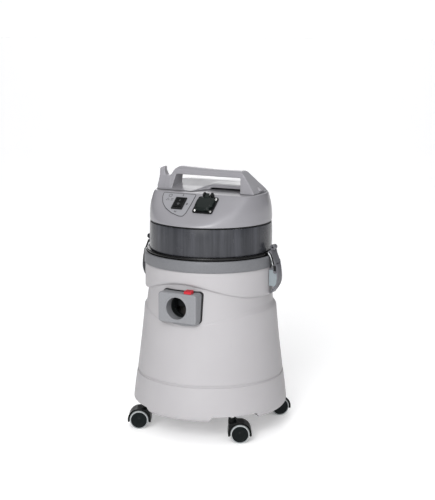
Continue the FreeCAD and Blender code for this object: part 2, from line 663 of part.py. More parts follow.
# the gland in the cap's back that the mains lead goes in at
gp = 142.7
gland = fuse(cyl(9.5, 3.0, gp * gdir[0], gp * gdir[1], 506.0, gdir),
             cyl(6.2, 12.0, (gp - 9.0) * gdir[0], (gp - 9.0) * gdir[1], 506.0, gdir),
             cone(8.0, 6.0, 12.0, (gp + 2.9) * gdir[0], (gp + 2.9) * gdir[1], 506.0, gdir))
gland = cut(gland, cyl(4.0, 60.0, 120.0 * gdir[0], 120.0 * gdir[1], 506.0, gdir))
node(gland, "cord_inlet")

# ------------------------------------------------------- handle and rear cowl
dz = q("deck_z")
gh, gl, gt, pf = q("grip_half"), q("grip_low"), q("grip_top"), q("post_foot")
cowl_out = revolved("cowl_outer", [
    (0, dz), (131.5, dz), (128.7, dz + 5.6), (125.8, dz + 10.0), (122.0, dz + 13.6), (116.0, dz + 16.0),
    (104.0, dz + 17.6), (60.0, dz + 19.0), (0, dz + 19.5)])
cowl_in = revolved("cowl_inner", [
    (0, dz - 1.0), (128.4, dz - 1.0), (125.4, dz + 4.8), (122.8, dz + 8.4), (119.6, dz + 11.0), (114.8, dz + 13.2),
    (103.4, dz + 14.6), (60.0, dz + 16.0), (0, dz + 16.5)])
wedge = padded("cowl_wedge", "YZ_Plane", [[(6.0, dz), (13.0, dz + 6.0), (40.0, dz + 19.0), (56.0, dz + 30.0), (140.0, dz + 30.0), (140.0, dz)]], 280.0, -140.0)
wedge_in = padded("cowl_wedge_in", "YZ_Plane", [[(10.0, dz - 1.0), (15.4, dz + 4.0), (42.0, dz + 15.8), (60.0, dz + 27.0), (140.0, dz + 27.0), (140.0, dz - 1.0)]], 280.0, -140.0)
cowl = cut(common(cowl_out, wedge), common(cowl_in, wedge_in))
face_on = padded("handle_front_view", "XZ_Plane", [[
    (-126.0, dz + 3.0), (-124.5, 575.0), (-121.5, 603.0), (-117.0, 608.6), (-113.8, 610.4), (-113.2, 598.0), (-110.0, 590.0),
    (-107.0, 588.0), (-98.5, 588.0), (-96.0, 590.0), (-86.5, gt - 3.6), (-82.6, gt - 0.9), (-78.0, gt),
    (78.0, gt), (82.6, gt - 1.0), (86.5, gt - 4.4), (pf, dz + 8.0), (pf + 5.0, dz), (gh + 5.6, dz), (gh, gl - 1.6), (gh - 2.0, gl),
    (2.0 - gh, gl), (-gh, gl - 1.6), (-gh - 5.6, dz), (-124.0, dz)]], 200.0, -100.0)
side_on = padded("handle_side_view", "YZ_Plane", [[
    (-32.0, dz), (-17.7, gl), (-17.2, gt - 8.0), (-15.0, gt - 4.2), (-9.5, gt - 1.2), (-3.0, gt), (3.0, gt), (9.5, gt - 1.2),
    (15.0, gt - 4.2), (17.2, gt - 8.0), (18.0, gl), (20.0, gl - 3.0), (54.0, dz)]], 240.0, -110.0)
prong_side = padded("prong_side_view", "YZ_Plane", [[
    (-32.0, dz), (-19.0, 590.0), (-17.6, 612.0), (-6.0, 612.0), (-2.0, 586.0), (12.0, 572.0), (24.0, dz)]], 60.0, -140.0)
prong_face = padded("prong_front_view", "XZ_Plane", [[
    (-124.6, dz + 1.5), (-124.5, 575.0), (-121.5, 603.0), (-117.0, 608.6), (-113.8, 610.4), (-113.2, 598.0), (-110.0, 590.0),
    (-107.0, 588.0), (-98.5, 588.0), (-94.0, 588.0), (-92.0, dz), (-124.0, dz)]], 70.0, -40.0)
grip = common(face_on, side_on, box(234.0, 200.0, 100.0, -110.0, -100.0, 540.0), cyl(131.4, 100.0, 0, 0, 540.0))
prong = common(prong_face, prong_side)
node(fuse(cowl, grip, prong), "handle_cowl")

# --------------------------------------------------------- switch and socket
label_pts = [(-88.0, 92.0), (-86.0, 78.0), (-78.0, 60.0), (-64.0, 44.0), (-44.0, 31.0), (-22.0, 23.0), (-12.0, 23.0),
             (-8.0, 34.0), (-6.0, 60.0), (-5.0, 92.0)]
label = padded("label_plate", "XY_Plane", [label_pts], 0.5)
label = cut(label, box(sww - 2.0, swl - 2.0, 4.0, swx - (sww - 2.0) / 2, cs - (swl - 2.0) / 2, -2.0))
label_g = group(label)
place(label_g, 0.0, q("facade_y") - 0.25 * math.sin(TILT), q("facade_z") + 0.25 * math.cos(TILT), FT)
node(label_g, "control_label")

bezel = box(sww, swl, 2.6, -sww / 2, -swl / 2, 0.9)
bezel = rounded(bezel, 1.0, lambda e: e.BoundBox.ZMin > 3.4 or along(e, (0, 0, 1)))
well = box(sww - 5.0, swl - 5.0, 24.0, -(sww - 5.0) / 2, -(swl - 5.0) / 2, -20.0)
switch_body = cut(fuse(bezel, well), box(sww - 8.0, swl - 8.0, 30.0, -(sww - 8.0) / 2, -(swl - 8.0) / 2, -10.0),
                  cyl(1.25, 40.0, -20.0, 0, -2.0, "X"))
node(on_face(switch_body, swx, cs), "switch_housing")
# rocker: a shallow V in side view, pivoting on two stubs
rocker = padded("rocker_profile", "YZ_Plane", [[
    (-12.6, 4.6), (-6.0, 3.6), (0.0, 3.2), (6.0, 3.6), (12.6, 4.6), (12.4, 1.0), (7.0, -5.0), (3.0, -7.6), (-3.0, -7.6),
    (-7.0, -5.0), (-12.4, 1.0)]], 19.2, -9.6)
rocker = fuse(rocker, cyl(1.2, 22.4, -11.2, 0, -2.0, "X"))
node(on_face(rocker, swx, cs), "switch_rocker")

flange = box(sks, sks, 3.4, -sks / 2, -sks / 2, 0.4)
flange = rounded(flange, 5.0, lambda e: along(e, (0, 0, 1)))
flange = rounded(flange, 1.0, lambda e: e.BoundBox.ZMin > 3.7)
cup = cyl(skr + 1.4, 29.0, 0, 0, -26.0)
knuckle_a = box(6.0, 9.0, 9.0, -12.5, 20.0, 3.0)
knuckle_b = box(6.0, 9.0, 9.0, 6.5, 20.0, 3.0)
LIDP_Y, LIDP_Z = 25.4, 8.4
socket = cut(fuse(flange, cup, knuckle_a, knuckle_b), cyl(skr, 18.0, 0, 0, -14.0), cyl(skr - 0.15, 9.6, 0, 0, -23.5), cyl(1.51, 60.0, -30.0, LIDP_Y, LIDP_Z, "X"),
             *([cyl(1.9, 20.0, skp * 0.5 * a, skp * 0.5 * b, -10.0) for a in (-1, 1) for b in (-1, 1)]
               + [cyl(3.6, 4.0, skp * 0.5 * a, skp * 0.5 * b, 2.4) for a in (-1, 1) for b in (-1, 1)]))
node(on_face(socket, skx, cs), "socket_housing")
insert = cut(cyl(skr - 0.2, 9.0, 0, 0, -23.4), cyl(2.6, 20.0, -9.5, 0, -20.0), cyl(2.6, 20.0, 9.5, 0, -20.0))
node(on_face(insert, skx, cs), "socket_insert")
ss = []
for a in (-1, 1):
    for b in (-1, 1):
        ss.append(fuse(cyl(3.3, 1.3, skp * 0.5 * a, skp * 0.5 * b, 2.5), cyl(1.45, 11.0, skp * 0.5 * a, skp * 0.5 * b, -8.0)))
node(on_face(group(*ss), skx, cs), "socket_screws")
lid_pad = padded("lid_outline", "XY_Plane", [[
    (-14.0, -21.5), (14.0, -21.5), (17.6, -18.0), (17.6, -11.0), (21.6, -8.0), (21.6, 10.0), (16.0, 17.4), (-16.0, 17.4), (-21.6, 10.0),
    (-21.6, -8.0), (-17.6, -11.0), (-17.6, -18.0)]], 6.6, 4.2)
lid_pad = rounded(lid_pad, 1.6, lambda e: e.BoundBox.ZMin > 10.7)
lid_arm = box(8.0, 12.0, 4.4, -6.0, 14.0, 6.4)
lid_eye = cyl(2.9, 8.0, -6.0, LIDP_Y, LIDP_Z, "X")
lid = cut(fuse(lid_pad, lid_arm, lid_eye), cyl(1.55, 60.0, -30.0, LIDP_Y, LIDP_Z, "X"),
          box(30.0, 26.0, 3.4, -15.0, -16.0, 4.0))
node(on_face(lid, skx, cs), "socket_lid")
node(on_face(cyl(1.5, 25.0, -12.5, LIDP_Y, LIDP_Z, "X"), skx, cs), "lid_pin")
coil = [cut(cyl(2.7, 0.9, 2.5 + 1.0 * k, LIDP_Y, LIDP_Z, "X"), cyl(1.8, 6.0, 1.0, LIDP_Y, LIDP_Z, "X")) for k in range(3)]
coil_tie = box(2.9, 0.8, 0.7, 2.5, LIDP_Y - 0.4, LIDP_Z + 1.9)
coil_leg = box(0.8, 0.8, 6.4, 5.0, LIDP_Y + 1.8, 3.9)
node(on_face(fuse(*(coil + [coil_tie, coil_leg])), skx, cs), "lid_spring")

# ------------------------------------------------------------- inside the head
cap_screws = []
for x, y in screw_xy:
    cap_screws.append(fuse(cyl(4.6, 2.6, x, y, pl - 2.7), cyl(2.0, 92.0, x, y, pl - 0.4)))
node(group(*cap_screws), "cap_screws")

fr, mr, sh = q("fan_rad"), q("motor_rad"), q("shaft_rad")
fan_low = pl - 43.0
node(revolved("fan_case", [
    (21.0, fan_low), (fr, fan_low), (fr, fan_low + 60.0), (16.0, fan_low + 60.0), (16.0, fan_low + 68.0), (11.05, fan_low + 68.0),
    (11.05, fan_low + 61.0), (7.0, fan_low + 61.0), (7.0, fan_low + 57.6), (fr - 1.8, fan_low + 57.6), (fr - 1.8, fan_low + 1.8), (21.0, fan_low + 1.8)]), "fan_casing")
blades = []
for k in range(8):
    blade = box(40.0, 1.4, 10.0, 21.0, -0.7, fan_low + 10.0)
    g = group(blade)
    blades.append(place(g, 0, 0, 0, Rot(V(0, 0, 1), 45.0 * k)))
imp_disc = cyl(64.0, 1.6, 0, 0, fan_low + 19.6)
imp_front = cut(cyl(64.0, 1.4, 0, 0, fan_low + 8.8), cyl(24.0, 4.0, 0, 0, fan_low + 8.0))
imp_hub = cyl(9.0, 12.0, 0, 0, fan_low + 9.6)
node(cut(fuse(imp_disc, imp_front, imp_hub, *blades), cyl(sh + 0.01, 40.0, 0, 0, fan_low)), "impeller")
shaft = cyl(sh, 158.4, 0, 0, fan_low + 9.6)
arm = cyl(24.0, 46.0, 0, 0, fan_low + 88.0)
comm = cyl(13.0, 15.0, 0, 0, fan_low + 138.0)
node(fuse(shaft, arm, comm), "motor_rotor")
node(cut(cyl(mr - 3.2, 48.0, 0, 0, fan_low + 87.0), cyl(25.0, 60.0, 0, 0, fan_low + 80.0)), "motor_stator")
frame_tube = cut(cyl(mr, 106.0, 0, 0, fan_low + 60.2), cyl(mr - 3.0, 96.0, 0, 0, fan_low + 60.0),
                 box(120.0, 34.0, 14.0, -60.0, -17.0, fan_low + 66.0), box(34.0, 120.0, 14.0, -17.0, -60.0, fan_low + 66.0),
                 box(40.0, 120.0, 15.0, -20.0, -60.0, fan_low + 138.0),
                 cyl(11.05, 7.1, 0, 0, fan_low + 155.9), cyl(7.0, 30.0, 0, 0, fan_low + 150.0))
frame_foot = cut(cyl(mr + 14.0, 3.0, 0, 0, fan_low + 60.2), cyl(mr - 3.0, 10.0, 0, 0, fan_low + 58.0))
holders = [cut(box(30.0, 10.0, 13.0, x0, -5.0, fan_low + 139.0), box(60.0, 6.1, 9.1, -30.0, -3.05, fan_low + 140.95))
           for x0 in (17.5, -47.5)]
node(fuse(frame_tube, frame_foot, *holders), "motor_frame")
bear = [cut(cyl(11.0, 7.0, 0, 0, z), cyl(sh + 0.03, 12.0, 0, 0, z - 1.0)) for z in (fan_low + 61.0, fan_low + 155.9)]
node(group(*bear), "motor_bearings")
brush = [box(14.0, 6.0, 9.0, 13.3, -3.0, fan_low + 141.0), box(14.0, 6.0, 9.0, -27.3, -3.0, fan_low + 141.0)]
node(group(*brush), "motor_brushes")
board = box(88.0, 1.6, 44.0, -44.0, -112.0, 440.0)
chips = [box(18.0, 9.0, 14.0, -34.0, -110.5, 452.0), cyl(6.0, 16.0, 2.0, -110.5, 456.0, "Y"), box(12.0, 5.0, 16.0, 20.0, -110.5, 450.0),
         box(80.0, 6.0, 18.4, -40.0, -112.0, 422.6)]
node(fuse(board, *chips), "start_board")

# ------------------------------------------------------ float cage and filter
car, flr, fir, fil = q("cage_rad"), q("float_rad"), q("filter_rad"), q("filter_low")
cage_low = 262.0
cage_top = pl - 47.0
cage = revolved("cage_body", [
    (0, cage_low), (car, cage_low), (car, cage_top - 3.0), (70.0, cage_top - 3.0), (70.0, cage_top), (30.0, cage_top),
    (30.0, cage_top - 3.0), (car - 3.0, cage_top - 6.0), (car - 3.0, cage_low + 3.0), (0, cage_low + 3.0)])
guides = []
windows = []
for k in range(6):
    w = box(80.0, 34.0, 62.0, 0.0, -17.0, cage_low + 14.0)
    g = group(w)
    windows.append(place(g, 0, 0, 0, Rot(V(0, 0, 1), 60.0 * k)))
cage = cut(cage, *windows)
ribs = []
for k in range(6):
    rib = box(car - 2.0 - flr - 0.6, 2.4, 96.0, flr + 0.6, -1.2, cage_low + 2.0)
    g = group(rib)
    ribs.append(place(g, 0, 0, 0, Rot(V(0, 0, 1), 60.0 * k + 30.0)))
node(fuse(cage, *ribs), "float_cage")
node(ball(flr, 0, 0, cage_low + 3.3 + flr), "float_ball")
PLEATS = 48
pleat_pts = []
for k in range(PLEATS * 2):
    a = math.pi * k / PLEATS
    rr = (fir - 1.5) if k % 2 == 0 else (fir - 9.0)
    pleat_pts.append((rr.v * math.cos(a), rr.v * math.sin(a)))
paper = doc.addObject("Part::Feature", "filter_paper")
poly = Part.makePolygon([V(x, y, 0) for x, y in pleat_pts] + [V(pleat_pts[0][0], pleat_pts[0][1], 0)])
tube = Part.Face(poly).extrude(V(0, 0, cage_top.v - 8.0 - (D["filter_low"] + 6.0))).cut(Part.makeCylinder(D["filter_rad"] - 12.0, 400.0, V(0, 0, -10)))
paper.Shape = tube
paper.Placement = PL(V(0, 0, D["filter_low"] + 6.0), Rot())
top_cap = cut(cyl(fir, 8.0, 0, 0, cage_top - 8.2), cyl(car + 14.4, 20.0, 0, 0, cage_top - 15.0),)
top_in = cut(cyl(car + 14.6, 4.6, 0, 0, cage_top - 8.2), cyl(car + 0.4, 20.0, 0, 0, cage_top - 15.0))
low_cap = cyl(fir, 6.4, 0, 0, fil)
node(fuse(paper, top_cap, top_in, low_cap), "filter_cartridge")

# ---------------------------------------------------------------- check, write
doc.recompute()
bad = []
for o in doc.Objects:
    if "Invalid" in o.State or "Error" in o.State:
        bad.append("%s (%s): %s" % (o.Name, o.Label, o.State))
for o, label in NODES:
    s = o.Shape
    if s.isNull() or not s.isValid() or not s.Solids:
        bad.append("%s: shape is null, invalid or holds no solid" % label)
if bad:
    raise SystemExit("\n".join(bad))
labels = [label for _, label in NODES]
if len(set(labels)) != len(labels) or len(labels) > 60:
    raise SystemExit("labels: %d, repeated: %s" % (len(labels), [x for x in labels if labels.count(x) > 1]))
for o, label in NODES:
    s = o.Shape
    out = s if len(s.Solids) == 1 and s.ShapeType == "Solid" else (s.Solids[0] if len(s.Solids) == 1 else Part.makeCompound(s.Solids))
    out.exportStep("parts/%s.step" % label)
    bb = s.BoundBox
    print("%-28s solids %2d  vol %9.1f  x %7.1f..%7.1f  y %7.1f..%7.1f  z %6.1f..%6.1f" % (
        label, len(s.Solids), s.Volume / 1000.0, bb.XMin, bb.XMax, bb.YMin, bb.YMax, bb.ZMin, bb.ZMax))
print(len(labels), "nodes")
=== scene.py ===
import math

import bmesh
import bpy
import numpy as np
from mathutils import Matrix, Vector


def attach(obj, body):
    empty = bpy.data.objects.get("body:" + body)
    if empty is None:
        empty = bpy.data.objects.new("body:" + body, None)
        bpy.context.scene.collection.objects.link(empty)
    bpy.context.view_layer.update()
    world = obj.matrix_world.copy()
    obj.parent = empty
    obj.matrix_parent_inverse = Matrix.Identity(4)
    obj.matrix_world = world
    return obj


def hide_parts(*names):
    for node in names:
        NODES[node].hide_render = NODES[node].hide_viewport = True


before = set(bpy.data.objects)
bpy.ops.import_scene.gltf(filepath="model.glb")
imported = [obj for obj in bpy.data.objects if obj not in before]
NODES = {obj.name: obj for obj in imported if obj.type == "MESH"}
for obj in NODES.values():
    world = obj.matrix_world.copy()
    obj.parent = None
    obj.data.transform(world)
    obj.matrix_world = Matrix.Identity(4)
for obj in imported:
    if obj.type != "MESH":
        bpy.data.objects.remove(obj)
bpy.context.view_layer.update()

MM = 0.001
scene = bpy.context.scene


# ============================================================ mesh machinery
def round_poly(pts, radius=0.0, closed=True, seg=5):
    """Corners of a polyline turned into arcs.  A point may be (x, y, r)."""
    out = []
    n = len(pts)
    for i, p in enumerate(pts):
        r = p[2] if len(p) > 2 else radius
        if r <= 0 or (not closed and i in (0, n - 1)):
            out.append((p[0], p[1]))
            continue
        a = np.array(pts[i - 1][:2], float)
        b = np.array(p[:2], float)
        c = np.array(pts[(i + 1) % n][:2], float)
        u, v = a - b, c - b
        lu, lv = np.linalg.norm(u), np.linalg.norm(v)
        if lu < 1e-9 or lv < 1e-9:
            out.append((p[0], p[1]))
            continue
        u, v = u / lu, v / lv
        ang = math.acos(float(np.clip(u @ v, -1, 1)))
        if ang > math.pi - 0.02:
            out.append((p[0], p[1]))
            continue
        t = min(r / math.tan(ang / 2), 0.48 * lu, 0.48 * lv)
        rr = t * math.tan(ang / 2)
        mid = (u + v) / np.linalg.norm(u + v)
        ctr = b + mid * rr / math.sin(ang / 2)
        p0, p1 = b + u * t, b + v * t
        a0 = math.atan2(*(p0 - ctr)[::-1])
        a1 = math.atan2(*(p1 - ctr)[::-1])
        d = (a1 - a0 + math.pi) % (2 * math.pi) - math.pi
        for k in range(seg + 1):
            w = a0 + d * k / seg
            out.append((ctr[0] + rr * math.cos(w), ctr[1] + rr * math.sin(w)))
    return out


def curve_through(pts, n=8, closed=False):
    """Catmull-Rom line through the points."""
    P = [np.array(p, float) for p in pts]
    m = len(P)
    out = []
    last = m if closed else m - 1
    for i in range(last):
        p1, p2 = P[i], P[(i + 1) % m]
        p0 = P[i - 1] if (i > 0 or closed) else 2 * p1 - p2
        p3 = P[(i + 2) % m] if (i + 2 < m or closed) else 2 * p2 - p1
        for k in range(n):
            t = k / n
            out.append(tuple(0.5 * ((2 * p1) + (-p0 + p2) * t + (2 * p0 - 5 * p1 + 4 * p2 - p3) * t * t
                                    + (-p0 + 3 * p1 - 3 * p2 + p3) * t ** 3)))
    if not closed:
        out.append(tuple(P[-1]))
    return out


def build(name, verts, faces, mats, normals=None, sharp=None, face_mat=None, place=None):
    """A mesh object from millimetres."""
    V = np.asarray(verts, float) * MM
    if place is not None:
        V = V @ np.array(place.to_3x3()).T + np.array(place.translation)
    me = bpy.data.meshes.new(name)
    me.from_pydata(V.tolist(), [], faces if isinstance(faces, list) else faces.tolist())
    me.update()
    for m in (mats if isinstance(mats, (list, tuple)) else [mats]):
        me.materials.append(m)
    if face_mat is not None:
        me.polygons.foreach_set("material_index", np.asarray(face_mat, np.int32))
    me.polygons.foreach_set("use_smooth", np.ones(len(me.polygons), bool))
    if normals is not None:
        N = np.asarray(normals, float)
        if place is not None:
            N = N @ np.array(place.to_3x3()).T
        me.normals_split_custom_set_from_vertices(N.tolist())
    elif sharp:
        mark_sharp(me, sharp)
    ob = bpy.data.objects.new(name, me)
    scene.collection.objects.link(ob)
    return ob


def mark_sharp(me, deg):
    bm = bmesh.new()
    bm.from_mesh(me)
    lim = math.radians(deg)
    for e in bm.edges:
        if len(e.link_faces) == 2:
            e.smooth = e.calc_face_angle(0.0) < lim
    bm.to_mesh(me)
    bm.free()


def lathe(name, prof, mats, seg=160, closed=True, sharp=38, zone=None, place=None, cap=False):
    """A ring turned about Z.  prof is (r, z) points, clockwise seen with r to the right
    gives faces that look out.  zone(k) picks the material of the band after point k."""
    prof = [(max(p[0], 0.0), p[1]) for p in prof]
    n = len(prof)
    ang = np.linspace(0, 2 * math.pi, seg, endpoint=False)
    c, s = np.cos(ang), np.sin(ang)
    verts, ids = [], []
    for r, z in prof:
        if r < 1e-6:
            ids.append([len(verts)] * seg)
            verts.append((0, 0, z))
        else:
            ids.append(list(range(len(verts), len(verts) + seg)))
            verts.extend(zip(r * c, r * s, [z] * seg))
    faces, fm = [], []
    for k in range(n if closed else n - 1):
        a, b = ids[k], ids[(k + 1) % n]
        for j in range(seg):
            j2 = (j + 1) % seg
            q = [a[j], b[j], b[j2], a[j2]]
            q = [v for i, v in enumerate(q) if v not in q[:i]]
            if len(q) > 2:
                faces.append(q)
                fm.append(zone(k) if zone else 0)
    area = sum(prof[k][0] * prof[(k + 1) % n][1] - prof[(k + 1) % n][0] * prof[k][1] for k in range(n))
    if area > 0:
        faces = [f[::-1] for f in faces]
    return build(name, verts, faces, mats, sharp=sharp, face_mat=fm, place=place)


# ---- distance fields, polygonised with surface nets and pulled onto the surface
def rmax(r, *ds):
    """Intersection with its edges rounded by r."""
    m = ds[0]
    acc = np.maximum(ds[0] + r, 0) ** 2
    for d in ds[1:]:
        m = np.maximum(m, d)
        acc = acc + np.maximum(d + r, 0) ** 2
    return np.minimum(m, -r) + np.sqrt(acc) if r > 0 else m


def rmin(r, *ds):
    """Union with a fillet of r in its corners."""
    return -rmax(r, *[-d for d in ds])


def sd_poly(x, y, poly):
    poly = np.asarray(poly, float)
    d = np.full(x.shape, 1e18)
    inside = np.zeros(x.shape, bool)
    n = len(poly)
    for i in range(n):
        ax, ay = poly[i]
        bx, by = poly[(i + 1) % n]
        ex, ey = bx - ax, by - ay
        ll = ex * ex + ey * ey
        if ll < 1e-14:
            continue
        wx, wy = x - ax, y - ay
        t = np.clip((wx * ex + wy * ey) / ll, 0, 1)
        d = np.minimum(d, (wx - t * ex) ** 2 + (wy - t * ey) ** 2)
        if abs(ey) > 1e-12:
            inside ^= ((ay > y) != (by > y)) & (x < ax + (y - ay) * ex / ey)
    d = np.sqrt(d)
    return np.where(inside, -d, d)


class Flat:
    """A polygon's distance, held on a fine grid."""

    def __init__(self, poly, r=0.0, step=0.3, pad=5.0, seg=5):
        poly = np.array(round_poly(poly, r, seg=seg)) if (r > 0 or any(len(p) > 2 for p in poly)) else np.array([p[:2] for p in poly], float)
        self.lo = poly.min(0) - pad
        n = np.ceil((poly.max(0) + pad - self.lo) / step).astype(int) + 1
        gx = self.lo[0] + step * np.arange(n[0])
        gy = self.lo[1] + step * np.arange(n[1])
        X, Y = np.meshgrid(gx, gy, indexing="ij")
        self.g = sd_poly(X, Y, poly)
        self.step, self.n = step, n

    def __call__(self, x, y):
        u = np.clip((x - self.lo[0]) / self.step, 0, self.n[0] - 1.001)
        v = np.clip((y - self.lo[1]) / self.step, 0, self.n[1] - 1.001)
        i, j = u.astype(int), v.astype(int)
        a, b = u - i, v - j
        g = self.g
        return (g[i, j] * (1 - a) * (1 - b) + g[i + 1, j] * a * (1 - b) + g[i, j + 1] * (1 - a) * b + g[i + 1, j + 1] * a * b)


def sbox(P, lo, hi, r=0.0):
    c = (np.array(lo, float) + np.array(hi, float)) / 2
    h = (np.array(hi, float) - np.array(lo, float)) / 2
    q = np.abs(P - c) - (h - r)
    return np.linalg.norm(np.maximum(q, 0), axis=1) + np.minimum(q.max(1), 0) - r


def scyl(P, c, rad, axis, a0, a1, r=0.0):
    """A cylinder along an axis (0, 1 or 2) from a0 to a1, c its centre in the other two."""
    o = [k for k in range(3) if k != axis]
    d = np.hypot(P[:, o[0]] - c[0], P[:, o[1]] - c[1]) - rad
    w = np.abs(P[:, axis] - (a0 + a1) / 2) - (a1 - a0) / 2
    return rmax(r, d, w)


def nets(f, lo, hi, h):
    lo, hi = np.array(lo, float), np.array(hi, float)
    K = 4
    n = np.ceil((hi - lo) / (h * K)).astype(int) * K + 1
    coarse = [lo[i] + h * K * np.arange((n[i] - 1) // K + 1) for i in range(3)]
    C = np.stack(np.meshgrid(*coarse, indexing="ij"), -1)
    dc = f(C.reshape(-1, 3)).reshape(C.shape[:3])
    near = np.abs(dc) < h * K * 2.0
    live = np.zeros(np.array(dc.shape) - 1, bool)
    for a in (0, 1):
        for b in (0, 1):
            for c in (0, 1):
                live |= near[a:near.shape[0] - 1 + a, b:near.shape[1] - 1 + b, c:near.shape[2] - 1 + c]
    big = lambda A: A.repeat(K, 0).repeat(K, 1).repeat(K, 2)
    D = np.pad(big(dc[:-1, :-1, :-1]), [(0, 1)] * 3, mode="edge")
    m = big(live)
    pm = np.zeros(n, bool)
    for a in (0, 1):
        for b in (0, 1):
            for c in (0, 1):
                pm[a:n[0] - 1 + a, b:n[1] - 1 + b, c:n[2] - 1 + c] |= m
    idx = np.argwhere(pm)
    vals = np.empty(len(idx))
    for k in range(0, len(idx), 400000):
        vals[k:k + 400000] = f(lo + h * idx[k:k + 400000])
    D[pm] = vals
    cells = n - 1
    acc = np.zeros((cells.prod(), 3))
    cnt = np.zeros(cells.prod())
    quads = []
    flat = lambda I: (I[:, 0] * cells[1] + I[:, 1]) * cells[2] + I[:, 2]
    for ax in range(3):
        sl0, sl1 = [slice(None)] * 3, [slice(None)] * 3
        sl0[ax], sl1[ax] = slice(0, -1), slice(1, None)
        A, B = D[tuple(sl0)], D[tuple(sl1)]
        I = np.argwhere((A < 0) != (B < 0))
        a, b = A[tuple(I.T)], B[tuple(I.T)]
        pos = I.astype(float)
        pos[:, ax] += a / (a - b)
        b1, b2 = (ax + 1) % 3, (ax + 2) % 3
        ok = (I[:, b1] > 0) & (I[:, b2] > 0) & (I[:, b1] < cells[b1]) & (I[:, b2] < cells[b2])
        I, a, pos = I[ok], a[ok], pos[ok]
        ring = []
        for o1, o2 in ((0, 0), (-1, 0), (-1, -1), (0, -1)):
            J = I.copy()
            J[:, b1] += o1
            J[:, b2] += o2
            k = flat(J)
            ring.append(k)
            for d in range(3):
                acc[:, d] += np.bincount(k, pos[:, d], len(acc))
            cnt += np.bincount(k, minlength=len(cnt))
        q = np.stack(ring, 1)
        q[a >= 0] = q[a >= 0][:, ::-1]
        quads.append(q)
    used = np.flatnonzero(cnt)
    vid = np.full(len(cnt), -1)
    vid[used] = np.arange(len(used))
    V = lo + h * acc[used] / cnt[used][:, None]
    Q = vid[np.concatenate(quads)]
    e = h * 0.12

    def grad(V):
        g = np.empty_like(V)
        for d in range(3):
            o = np.zeros(3)
            o[d] = e
            g[:, d] = (f(V + o) - f(V - o)) / (2 * e)
        return g
    for _ in range(3):
        g = grad(V)
        s = -f(V)[:, None] * g / np.maximum((g * g).sum(1), 0.05)[:, None]
        L = np.linalg.norm(s, axis=1)
        V = V + s * np.minimum(1, 0.6 * h / np.maximum(L, 1e-9))[:, None]
    g = grad(V)
    N = g / np.maximum(np.linalg.norm(g, axis=1), 1e-9)[:, None]
    return V, Q, N


def solid(name, f, lo, hi, h, mats, place=None, zone=None):
    V, Q, N = nets(f, lo, hi, h)
    fm = None
    if zone is not None:
        fm = zone(V[Q].mean(1), N[Q].mean(1))
    return build(name, V, Q, mats, normals=N, face_mat=fm, place=place)


def boolean(ob, cutters, op="DIFFERENCE"):
    for c in cutters:
        m = ob.modifiers.new("cut", "BOOLEAN")
        m.operation, m.object, m.solver = op, c, "EXACT"
    dg = bpy.context.evaluated_depsgraph_get()
    me = bpy.data.meshes.new_from_object(ob.evaluated_get(dg))
    ob.modifiers.clear()
    old = ob.data
    ob.data = me
    bpy.data.meshes.remove(old)
    for c in cutters:
        bpy.data.objects.remove(c)
    return ob


def give(ob, body, slot, *nodes):
    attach(ob, body)
    if nodes:
        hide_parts(*nodes)
    return ob


# ================================================================== materials
def srgb(r, g, b):
    f = lambda c: c / 12.92 if c <= 0.04045 else ((c + 0.055) / 1.055) ** 2.4
    return (f(r / 255), f(g / 255), f(b / 255), 1.0)


